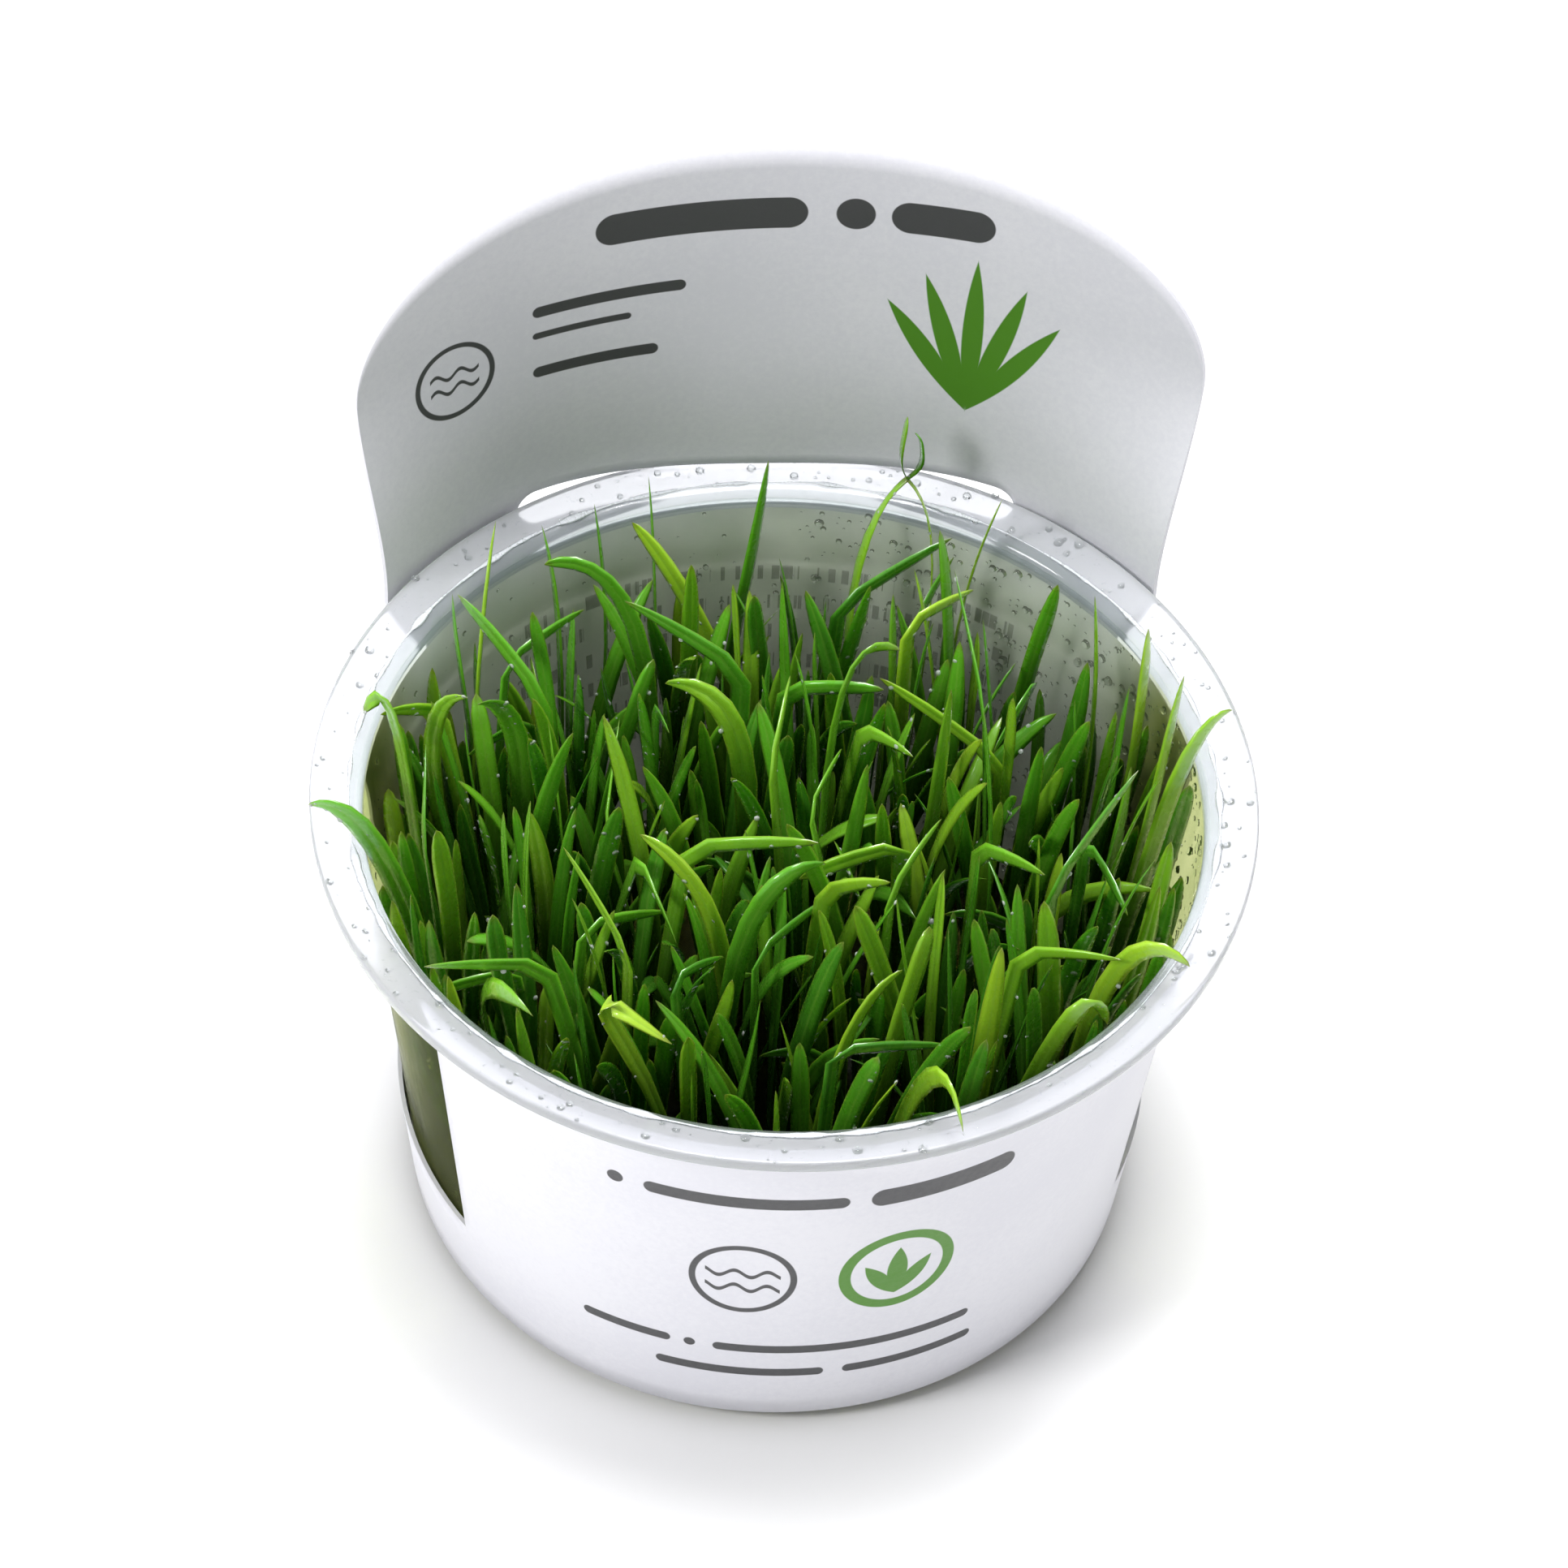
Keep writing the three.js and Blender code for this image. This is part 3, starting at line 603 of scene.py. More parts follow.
card_quads = []
for column in range(columns):
    card_quads += card_patch(column, level(SLEEVE_BOTTOM), level(BAND_TOP), 4)
    if within(column, FRONT_HALF, angle_from_front):
        card_quads += card_patch(column, level(BAND_TOP), level(SWING_FROM), 8)
        card_quads += card_patch(column, level(SWING_FROM), level(FRONT_PANEL_TOP), 6)
    if within(column, SHOULDER_HALF):
        card_quads += card_patch(column, level(BAND_TOP), level(SWING_FROM), 8)
        if not within(column, HEADER_HALF):
            card_quads += card_patch(column, level(SWING_FROM), level(SHOULDER_TOP), 3)
    if within(column, HEADER_HALF):
        card_quads += card_patch(column, level(SWING_FROM), slot_floor, 6)
        card_quads += card_patch(column, slot_roof, header_midrow, 8)
        card_quads += card_patch(column, header_midrow, header_edge, 12)

count = len(card_inner)
open_edges = {}
for quad in card_quads:
    for start, stop in zip(quad, quad[1:] + quad[:1]):
        if (stop, start) in open_edges:
            del open_edges[(stop, start)]
        else:
            open_edges[(start, stop)] = True
card_faces = [quad[::-1] for quad in card_quads]
card_faces += [[v + count for v in quad] for quad in card_quads]
card_faces += [[start, stop, stop + count, start + count] for start, stop in open_edges]
card_mesh = bpy.data.meshes.new("card_sleeve")
card_mesh.from_pydata([tuple(p) for p in card_inner + card_outer], [], card_faces)
card_mesh.update()
print("sleeve:", len(card_faces), "faces")

# %% [markdown]
# The card's own UV map holds millimetres divided by 100: along the card from the middle of the
# header or the front panel, and up. Faces on the two sides get their own material, because
# the header is printed on the side that faces the plants and the front panel on the other.

# %% Card map and sides
UV_UNIT = 100.0
uv_layer = card_mesh.uv_layers.new(name="card_mm")
for polygon in card_mesh.polygons:
    for corner in polygon.loop_indices:
        azimuth, z = card_places[card_mesh.loops[corner].vertex_index % count]
        at_back = azimuth < BACK_TURN + HEADER_HALF + 0.4
        middle = BACK_TURN if at_back else front_middle
        uv_layer.data[corner].uv = ((azimuth - middle) * RIM_RADIUS / UV_UNIT, z / UV_UNIT)
for index, polygon in enumerate(card_mesh.polygons):
    polygon.use_smooth = index < 2 * len(card_quads)
    polygon.material_index = 0 if index < len(card_quads) else 1
print("map units of", UV_UNIT, "mm on", len(card_mesh.polygons), "faces")

# %% [markdown]
# ## The card's print
# The card carries a plain generic print in dark grey and green: rounded bars, dots, waves and
# leaf shapes. Each shape is arithmetic on the card's own map, in millimetres, so it stays sharp at
# any distance and needs no picture. A mask of 1 means ink.

# %% Print helpers


def card_millimetres(tree):
    """Along the card and up it, in millimetres, as two sockets."""
    place = add(tree, "ShaderNodeUVMap", uv_map="card_mm").outputs[0]
    parts = add(tree, "ShaderNodeSeparateXYZ", {0: place}).outputs
    return (calc(tree, "MULTIPLY", parts[0], UV_UNIT), calc(tree, "MULTIPLY", parts[1], UV_UNIT))


INK_SOFTNESS = 0.08


def ink_within(tree, distance, limit):
    """1 where a distance is under its limit, with a soft edge of an ink's width."""
    return ramp(tree, distance, limit - INK_SOFTNESS, limit + INK_SOFTNESS, 1.0, 0.0)


def length_of(tree, dx, dz):
    """The distance that two steps at right angles make."""
    return calc(tree, "SQRT", calc(tree, "ADD", calc(tree, "MULTIPLY", dx, dx),
                                   calc(tree, "MULTIPLY", dz, dz)))


def bar(tree, x, z, centre, half_length, half_height):
    """A bar with round ends."""
    dx = calc(tree, "ABSOLUTE", calc(tree, "SUBTRACT", x, centre[0]))
    beyond = calc(tree, "MAXIMUM", calc(tree, "SUBTRACT", dx, half_length - half_height), 0.0)
    dz = calc(tree, "SUBTRACT", z, centre[1])
    return ink_within(tree, length_of(tree, beyond, dz), half_height)


def disc_distance(tree, x, z, centre):
    """How far a place is from a centre."""
    return length_of(tree, calc(tree, "SUBTRACT", x, centre[0]),
                     calc(tree, "SUBTRACT", z, centre[1]))


def disc(tree, x, z, centre, radius):
    """A round dot."""
    return ink_within(tree, disc_distance(tree, x, z, centre), radius)


def ring(tree, x, z, centre, radius, half_line):
    """A circle drawn with a line."""
    off = calc(tree, "SUBTRACT", disc_distance(tree, x, z, centre), radius)
    return ink_within(tree, calc(tree, "ABSOLUTE", off), half_line)


def leaf_shape(tree, x, z, foot, length, half_width, angle):
    """A pointed leaf from its foot, at an angle in degrees from upright."""
    a = math.radians(angle)
    dx = calc(tree, "SUBTRACT", x, foot[0])
    dz = calc(tree, "SUBTRACT", z, foot[1])
    along = calc(tree, "ADD", calc(tree, "MULTIPLY", dx, math.sin(a)),
                 calc(tree, "MULTIPLY", dz, math.cos(a)))
    across = calc(tree, "SUBTRACT", calc(tree, "MULTIPLY", dx, math.cos(a)),
                  calc(tree, "MULTIPLY", dz, math.sin(a)))
    share = calc(tree, "DIVIDE", along, length)
    bulge = calc(tree, "MULTIPLY", share, calc(tree, "SUBTRACT", 1.0, share))
    bulge = calc(tree, "MULTIPLY", bulge, 4 * half_width)
    return ramp(tree, calc(tree, "SUBTRACT", bulge, calc(tree, "ABSOLUTE", across)),
                -INK_SOFTNESS, INK_SOFTNESS)


def wave_line(tree, x, z, centre, half_length, rise, period, half_line):
    """A wavy line."""
    dx = calc(tree, "SUBTRACT", x, centre[0])
    dz = calc(tree, "SUBTRACT", z, centre[1])
    line = calc(tree, "SINE", calc(tree, "MULTIPLY", dx, 2 * math.pi / period))
    off = calc(tree, "SUBTRACT", dz, calc(tree, "MULTIPLY", line, rise))
    off = calc(tree, "ABSOLUTE", off)
    inside = calc(tree, "LESS_THAN", calc(tree, "ABSOLUTE", dx), half_length)
    return calc(tree, "MULTIPLY", ink_within(tree, off, half_line), inside)


def both_limits(tree, value, low, high):
    """1 where a value lies between two limits."""
    return calc(tree, "MULTIPLY", calc(tree, "GREATER_THAN", value, low),
                calc(tree, "LESS_THAN", value, high))


def rows_of_marks(tree, x, z, heights, half_length, pitch):
    """Rows of small dashes of many lengths, like fine print too far away to be read."""
    row = calc(tree, "DIVIDE", z, pitch)
    number = calc(tree, "FLOOR", row)
    off = calc(tree, "ABSOLUTE", calc(tree, "SUBTRACT", calc(tree, "FRACT", row), 0.5))
    place = add(tree, "ShaderNodeCombineXYZ", {0: x, 1: calc(tree, "MULTIPLY", number, 7.3)})
    ragged = noise(tree, place.outputs[0], 1.1, 2, 0.6)
    dashes = ramp(tree, ragged, 0.50, 0.54)
    inside = both_limits(tree, z, heights[0], heights[1])
    inside = calc(tree, "MULTIPLY", inside, both_limits(tree, x, -half_length, half_length))
    inked = calc(tree, "MULTIPLY", ramp(tree, off, 0.2, 0.26, 1.0, 0.0), dashes)
    return calc(tree, "MULTIPLY", inked, inside)


def together(tree, masks):
    """All of these masks together."""
    total = masks[0]
    for mask in masks[1:]:
        total = calc(tree, "MAXIMUM", total, mask)
    return total


# %% [markdown]
# The card is coated, so it has a soft sheen, and up close its fibres show a little in its colour,
# its gloss and its relief. Noise at two scales makes them. Both sides use the same stock with
# their own print.

# %% Card stock
CARD_WHITE, CARD_SHADE, CARD_LIGHT = (0.72, 0.72, 0.77), (0.69, 0.69, 0.745), (0.745, 0.745, 0.79)
INK_GREY = (0.060, 0.060, 0.064)
INK_GREEN = (0.075, 0.235, 0.016)


def card_stock(name):
    """Coated white card, with fine fibres in its colour and its gloss."""
    material, tree, shader = new_material(
        name, Base_Color=(*CARD_WHITE, 1), Roughness=0.42, Specular_IOR_Level=0.4)
    where = object_coordinates(tree)
    fibre = noise(tree, where, 1400, 4, 0.65)
    cloud = noise(tree, where, 45, 3)
    shade = calc(tree, "MULTIPLY", calc(tree, "ADD", fibre, cloud), 0.5)
    paper = blend_colors(tree, ramp(tree, shade, 0.35, 0.65), CARD_SHADE, CARD_LIGHT)
    tree.links.new(ramp(tree, fibre, 0.3, 0.7, 0.36, 0.5), shader.inputs["Roughness"])
    give_relief(tree, shader, fibre, 0.08, 0.0002)
    return material, tree, shader, paper


def print_on(tree, shader, paper, grey_masks, green_masks):
    """Inks over the paper."""
    color = blend_colors(tree, together(tree, green_masks), paper, INK_GREEN)
    color = blend_colors(tree, together(tree, grey_masks), color, INK_GREY)
    tree.links.new(color, shader.inputs["Base Color"])


# %% [markdown]
# The header carries its print on the side towards the plants: two bars and a dot at its top,
# three short lines, a ringed sign with two waves and a spray of five leaves, and rows of fine
# marks lower down behind the cup. Places are in millimetres from the card's middle and the table.

# %% Side towards the plants
card_inside, tree, shader, paper = card_stock("card_inside")
x, z = card_millimetres(tree)
grey = [bar(tree, x, z, centre, half_length, half_height)
        for centre, half_length, half_height in (
            ((-8, 94.6), 11.5, 2.1), ((18.0, 94.6), 5.6, 2.1), ((-18, 85.5), 8.6, 0.75),
            ((-21, 82.2), 5.6, 0.45), ((-19.5, 77.0), 7.1, 0.75))]
grey += [disc(tree, x, z, (8.6, 94.6), 2.1), ring(tree, x, z, (-36.0, 80.0), 4.6, 0.32)]
grey += [wave_line(tree, x, z, (-36.0, height), 3.0, 0.45, 3.0, 0.25) for height in (80.9, 79.0)]
green = [leaf_shape(tree, x, z, (22.0, 69.0), length, 1.15, angle)
         for length, angle in ((17, -34), (19, -17), (21, 0), (19, 17), (17, 34))]
grey.append(rows_of_marks(tree, x, z, (22, 46.5), 34, 4.3))
print_on(tree, shader, paper, grey, green)
print("inks on the header's side:", len(grey), "grey and", len(green), "green")

# %% [markdown]
# The front panel carries its print on the outer side: bars and dots for its lines, a ringed wave
# sign in grey and a ringed sprout in green. The picture doesn't show the outer side of the back
# panel, so it gets the same print.

# %% Outer side
card_outside, tree, shader, paper = card_stock("card_outside")
x, z = card_millimetres(tree)
grey = [bar(tree, x, z, centre, half_length, half_height)
        for centre, half_length, half_height in (
            ((-14, 44.5), 9.0, 1.55), ((9.5, 44.5), 12.0, 1.0), ((-4, 15.4), 17.0, 0.75),
            ((24.5, 15.4), 6.0, 0.75), ((-13, 10.6), 9.0, 0.75), ((9.5, 10.6), 11.0, 0.75))]
grey += [disc(tree, x, z, (25.0, 44.5), 1.0), disc(tree, x, z, (16.0, 15.4), 0.75),
         ring(tree, x, z, (9.5, 29.5), 6.2, 0.42)]
grey += [wave_line(tree, x, z, (9.5, height), 4.6, 0.6, 4.0, 0.35) for height in (30.6, 27.8)]
green = [ring(tree, x, z, (-9.5, 29.5), 6.6, 0.75)]
green += [leaf_shape(tree, x, z, (-9.5, 24.8), length, half_width, angle)
          for length, half_width, angle in ((9.0, 1.3, 0), (7.5, 1.1, 34), (7.5, 1.1, -34))]
print_on(tree, shader, paper, grey, green)

sleeve = new_piece("card_sleeve", card_mesh, card_inside, card_outside)
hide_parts("sleeve")
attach(sleeve, "root")
print("inks on the front panel:", len(grey), "grey and", len(green), "green")

# %% [markdown]
# ## The plantlets
# Each plantlet is a tuft of narrow leaves that grow from one crown on the gel. A leaf is a
# cubic curve from its foot, with a width that grows past its middle and closes to a blunt
# point. The leaves that stand out of the turf are placed one by one. The rest are drawn from a
# repeatable random source and kept only where they find room, so that no leaf cuts through
# another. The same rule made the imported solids, so each fine tuft lies on its own solid.

# %% Leaf curves
PLANTLETS = 44
CROWN_DISC, FOOT_OFFSET = 36.0, 1.25
LEAVES_PER_PLANTLET = 6
STAND_GAP = 0.3
CLEARANCE, HALF_THICKNESS = 0.15, 0.38
WALL_GAP, OVER_RIM, OVER_GEL = 0.5, 1.2, 1
RANDOM_SEED = 20577
GOLDEN_ANGLE = math.pi * (3 - math.sqrt(5))
STANDING_STATIONS = (0, 0.3, 0.58, 0.82, 1)
TURF_STATIONS = (0, 0.38, 0.74, 1)

# Foot on the gel, rise, bend, tip and greatest width of the leaves that stand out of the turf
STANDING_LEAVES = [
    ((-6, 33), (-4, 37, 32), (-1, 37, 50), (1, 41, 66), 3.6),
    ((13, 31), (11, 34, 36), (10, 39, 60), (16, 41, 72), 1.7),
    ((13, 31), (18, 36, 34), (23, 39, 60), (17, 41, 71), 1.7),
    ((20, 30), (20, 36, 32), (23, 36, 52), (26, 34, 66), 1.6),
    ((-12, 32), (-11, 37, 34), (-11, 38, 50), (-12, 42, 63), 1.8),
    ((-19, 27), (-16, 34, 32), (-16, 37, 48), (-18, 41, 60), 2.2),
    ((2, 28), (0, 29, 34), (-7, 34, 54), (-14, 38, 60), 3.4),
    ((-24, 26), (-22, 29, 32), (-21, 31, 50), (-24, 36, 62), 4.2),
    ((-11, 22), (-11, 25, 42), (-13, 28, 68), (-24, 30, 62), 3.0),
    ((-32, 15), (-33, 18, 32), (-32, 23, 56), (-29, 35, 64), 4.0),
    ((-28, 20), (-30, 21, 32), (-34, 22, 50), (-34, 28, 60), 3.6),
    ((-35, 0), (-39, 3, 36), (-39, 12, 72), (-44, 10, 61), 2.6),
    ((-32, -7), (-38, -8, 42), (-42, -7, 68), (-50, -4, 62.5), 4.0),
    ((34, -8), (38, -7, 38), (40, -1, 68), (47, 2, 66), 3.2),
    ((35, 4), (38, 8, 34), (40, 12, 52), (40, 16, 64), 3.4),
    ((35, -3), (39, 0, 34), (40, 4, 54), (43, 9, 64), 3.4),
    ((27, -22), (29, -25, 38), (30, -25, 70), (39, -29, 61.5), 3.0),
    ((8, -32), (9, -36, 40), (11, -40, 74), (14, -48, 60), 3.0),
    ((17, -30), (18, -29, 30), (19, -28, 48), (20, -26, 62), 3.6),
    ((28, -16), (28, -21, 30), (27, -22, 48), (25, -20, 62), 3.8),
    ((22, -27), (23, -31, 46), (27, -35, 72), (31, -30, 54), 2.6),
    ((6, -26), (8, -27, 34), (11, -25, 52), (13, -22, 61), 4.0),
    ((-3, -31), (0, -30, 38), (4, -28, 56), (10, -26, 59), 3.0),
    ((-14, -26), (-12, -29, 50), (-30, -27, 68), (-14, -33, 57), 2.8),
    ((-6, -12), (-4, -14, 42), (-8, -15, 62), (-16, -10, 63), 3.0),
    ((-6, -12), (-9, -17, 46), (-5, -18, 68), (3, -14, 62), 3.6),
    ((5, 4), (6, 6, 42), (3, 11, 74), (13, 13, 65), 2.8),
    ((-13, -5), (-13, -3, 30), (-14, 0, 50), (-19, 4, 66), 4.0),
    ((-27, -9), (-28, -7, 30), (-28, -5, 48), (-27, -4, 62), 3.6),
    ((0, 10), (-1, 9, 40), (-2, 7, 68), (-12, 12, 62), 4.2),
    ((-30, 10), (-26, 14, 38), (-26, 14, 60), (-32, 8, 64), 4.2),
    ((-30, 10), (-36, 12, 38), (-40, 13, 62), (-33, 9, 64), 2.4),
    ((33, 13), (35, 15, 30), (36, 18, 48), (35, 22, 63), 4.0),
    ((24, -5), (24, -3, 30), (23, 1, 48), (21, 4, 65), 4.0),
    ((15, 7), (16, 7, 30), (17, 7, 48), (18, 8, 64), 3.8),
    ((-32, -14), (-34, -18, 42), (-35, -24, 64), (-28, -32, 61), 3.0),
]


def make_random(seed):
    """A small repeatable random source."""
    state = seed

    def draw():
        nonlocal state
        state = (state * 1664525 + 1013904223) % 4294967296
        return state / 4294967296
    return draw


class Leaf:
    """One leaf: its curve, width and turn, and its sections at a few stations for finding room.

    A stem also has a lower_half, half the width of its lower part."""
    lower_half = None

    def __init__(self, crown, foot, rise, bend, tip, width, facing, twist, stations):
        self.crown = crown
        self.points = [np.array(p, float) for p in (foot, rise, bend, tip)]
        self.width, self.facing, self.twist = width, facing, twist
        self.sections = self.frames(stations)

    def at(self, t):
        """The place on the curve at a share of its length."""
        u = 1 - t
        shares = (u * u * u, 3 * u * u * t, 3 * u * t * t, t * t * t)
        return sum(share * point for share, point in zip(shares, self.points))

    def breadth(self, t):
        """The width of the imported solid's blade."""
        shoulder = 0.3 + 0.7 * smooth(t / 0.6)
        nose = 1 if t < 0.66 else math.sqrt(max(0, 1 - ((t - 0.66) / 0.34) ** 2))
        return self.width * shoulder * nose

    def frames(self, stations):
        """Point, across and face directions, and half width at each station."""
        points = [self.at(t) for t in stations]
        rows = []
        for i, t in enumerate(stations):
            along = points[min(len(points) - 1, i + 1)] - points[max(0, i - 1)]
            along /= np.linalg.norm(along)
            heading = self.facing + self.twist * t
            side = np.array((math.cos(heading), math.sin(heading), 0))
            side -= along * side.dot(along)
            side /= np.linalg.norm(side)
            rows.append((points[i], side, np.cross(side, along), self.breadth(t) / 2))
        return [np.array(column) for column in zip(*rows)]

    def blade_half(self, t):
        """Half the width of the fine blade, which is even along it and has a round nose."""
        shoulder = lerp(0.36, 1, smooth(t / 0.5))
        if self.lower_half:
            return lerp(self.lower_half * shoulder, STEM_WIDTH / 2, smooth((t - 0.68) / 0.24))
        nose = max(0, (t - self.nose_from) / (1 - self.nose_from))
        return (0.56 + 0.18 * self.width) * shoulder * max(0, 1 - nose ** 2.2) ** 0.6


print("leaves placed by hand:", len(STANDING_LEAVES))

# %% [markdown]
# A new leaf finds room if none of its straight stretches comes nearer to a stretch of another
# leaf than both blades reach. All stretches that are kept are held in arrays, so one test
# against hundreds of leaves is a few lines of array arithmetic.

# %% Room between leaves


class Turf:
    """The leaves that are kept, and the arrays of their stretches."""

    def __init__(self):
        self.leaves = []
        self.start, self.end = np.zeros((0, 3)), np.zeros((0, 3))
        self.side, self.face = np.zeros((0, 2, 3)), np.zeros((0, 2, 3))
        self.half = np.zeros((0, 2))
        self.crown, self.first = np.zeros(0, int), np.zeros(0, bool)

    @staticmethod
    def stretches(leaf):
        """Starts, ends, sides, faces and half widths of a leaf's straight stretches."""
        points, side, face, half = leaf.sections
        pair = (slice(None, -1), slice(1, None))
        return (points[pair[0]], points[pair[1]],
                np.stack([side[p] for p in pair], 1), np.stack([face[p] for p in pair], 1),
                np.stack([half[p] for p in pair], 1))

    def keep(self, leaf):
        """Adds a leaf and its stretches."""
        start, end, side, face, half = self.stretches(leaf)
        self.leaves.append(leaf)
        self.start = np.concatenate([self.start, start])
        self.end = np.concatenate([self.end, end])
        self.side = np.concatenate([self.side, side])
        self.face = np.concatenate([self.face, face])
        self.half = np.concatenate([self.half, half])
        self.crown = np.concatenate([self.crown, np.full(len(start), leaf.crown)])
        self.first = np.concatenate([self.first, np.arange(len(start)) == 0])

    def has_room(self, leaf, own_crown, clearance=CLEARANCE):
        """own_crown says what counts of the same crown: 'none', or 'upper' past the feet."""
        if not self.leaves:
            return True
        start, end, side, face, half = self.stretches(leaf)
        for i in range(len(start)):
            others = self.crown != leaf.crown
            if own_crown == "upper" and i > 0:
                others = others | ~self.first
            reach = half[i].max() + HALF_THICKNESS + self.half.max() + HALF_THICKNESS + clearance
            low = np.minimum(start[i], end[i]) - reach
            high = np.maximum(start[i], end[i]) + reach
            near = ((np.maximum(self.start, self.end) >= low)
                    & (np.minimum(self.start, self.end) <= high)).all(1) & others
            if near.any() and self.meets(start[i], end[i], side[i], face[i], half[i], near,
                                         clearance):
                return False
        return True

    def meets(self, p1, q1, side, face, half, near, clearance):
        """Whether a stretch comes too near to the near ones, by their nearest points."""
        p2, q2 = self.start[near], self.end[near]
        d1, d2, r = q1 - p1, q2 - p2, p1 - p2
        a, e = d1.dot(d1), (d2 * d2).sum(1)
        f, c, b = (d2 * r).sum(1), r @ d1, d2 @ d1
        den = a * e - b * b
        s = np.where(den > 1e-9, np.clip((b * f - c * e) / np.where(den > 1e-9, den, 1), 0, 1), 0)
        t = (b * s + f) / e
        out = (t < 0) | (t > 1)
        t = np.clip(t, 0, 1)
        s = np.where(out, np.clip((b * t - c) / a, 0, 1), s)
        gap = (p1 + d1 * s[:, None]) - (p2 + d2 * t[:, None])
        distance = np.linalg.norm(gap, axis=1)
        direction = gap / np.maximum(distance, 1e-12)[:, None]
        own = (half[:, None] * np.abs(side @ direction.T)
               + HALF_THICKNESS * np.abs(face @ direction.T)).max(0)
        theirs = (self.half[near] * np.abs((self.side[near] * direction[:, None]).sum(2))
                  + HALF_THICKNESS * np.abs((self.face[near] * direction[:, None]).sum(2))).max(1)
        return bool(((distance < 0.05) | (distance < own + theirs + clearance)).any())


def clear_of_cup(leaf):
    """Inside the wall below the rim, and clear of the gel."""
    points, side, face, half = leaf.sections
    for i in range(1, len(points)):
        x, y, z = points[i]
        if z > RIM_TOP + OVER_RIM:
            continue
        radius = math.hypot(x, y)
        outwards = np.array((x / radius, y / radius, 0))
        reach = half[i] * abs(side[i].dot(outwards)) + HALF_THICKNESS * abs(face[i].dot(outwards))
        if not (radius + reach < inner_wall(z) - WALL_GAP and z > GEL_TOP + OVER_GEL):
            return False
    return True


# %% [markdown]
# The crowns stand on a sunflower's spiral, each turned by the golden angle from the last, which
# spreads them evenly over the gel. The standing leaves go in first, each on the crown nearest to
# its foot. Then every crown tries for six more leaves, and one that finds no room is drawn again
# up to 24 times. One draw in seven has a tip that hangs over.

# %% Growing the turf
RISE_SHARE, BEND_SHARE, TIP_SHARE = 0.38, 0.36, 0.26
TURF_ATTEMPTS = 24
HANGING_FROM = 0.86
crowns = []
for k in range(PLANTLETS):
    radius, turn = CROWN_DISC * math.sqrt((k + 0.5) / PLANTLETS), k * GOLDEN_ANGLE
    crowns.append(np.array((radius * math.cos(turn), radius * math.sin(turn),
                            GEL_TOP + STAND_GAP)))


def leaning(start, length, lean, heading):
    """The point at a length from a start, leaning by an angle from upright."""
    return start + length * np.array((math.sin(lean) * math.cos(heading),
                                      math.sin(lean) * math.sin(heading), math.cos(lean)))


def foot_on(crown, heading, offset=FOOT_OFFSET):
    """A leaf's foot, a little off its crown's middle."""
    return crown + np.array((offset * math.cos(heading), offset * math.sin(heading), 1))


def standing_leaf(foot, rise, bend, tip, width):
    """A listed leaf, on the crown nearest to its foot."""
    distances = [math.hypot(c[0] - foot[0], c[1] - foot[1]) for c in crowns]
    number = distances.index(min(distances))
    crown = crowns[number]
    heading = math.atan2(tip[1] - crown[1], tip[0] - crown[0])
    return Leaf(number, foot_on(crown, heading), rise, bend, tip, width, heading + math.pi / 2, 0,
                STANDING_STATIONS)


def turf_leaf(number, heading, random):
    """A leaf that leans out from its crown by an angle that grows from foot to tip."""
    length = lerp(34, 52, random())
    kind = random()
    first_lean = math.radians(lerp(0, 7, random()))
    second_lean = math.radians(lerp(2, 15, random()))
    last_lean = math.radians(lerp(3, 34, random()))
    if kind > HANGING_FROM:
        last_lean = math.radians(lerp(70, 125, random()))
    drift = lerp(-0.9, 0.9, random())
    foot = foot_on(crowns[number], heading)
    rise = leaning(foot, length * RISE_SHARE, first_lean, heading)
    bend = leaning(rise, length * BEND_SHARE, second_lean, heading + drift / 2)
    tip = leaning(bend, length * TIP_SHARE, last_lean, heading + drift)
    width = lerp(2.0, 3.7, random())
    facing = heading + math.pi / 2 + lerp(-0.8, 0.8, random())
    twist = lerp(-0.9, 0.9, random())
    return Leaf(number, foot, rise, bend, tip, width, facing, twist, TURF_STATIONS)


turf = Turf()
random = make_random(RANDOM_SEED)
for foot, rise, bend, tip, width in STANDING_LEAVES:
    leaf = standing_leaf(foot, rise, bend, tip, width)
    if turf.has_room(leaf, "none"):
        turf.keep(leaf)
for turn_number in range(LEAVES_PER_PLANTLET):
    for number in range(PLANTLETS):
        for _ in range(TURF_ATTEMPTS):
            heading = (turn_number + random()) / LEAVES_PER_PLANTLET * 2 * math.pi + number
            leaf = turf_leaf(number, heading, random)
            if clear_of_cup(leaf) and turf.has_room(leaf, "upper"):
                turf.keep(leaf)
                break
print("leaves of the packed solids:", len(turf.leaves))

# %% [markdown]
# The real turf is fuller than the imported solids, so each crown gets a few more leaves here. Some
# are short and narrow, some climb the wall, and some have a sharp fold and hang over their
# neighbours. They are thinner than the solids' leaves, so they are let in with a smaller
# clearance, and they belong to the tuft of the nearest crown.

# %% Small leaves between the others
SMALL_LEAVES_PER_PLANTLET, SMALL_LEAF_SEED = 6, 4711
THIN_CLEARANCE = -0.7


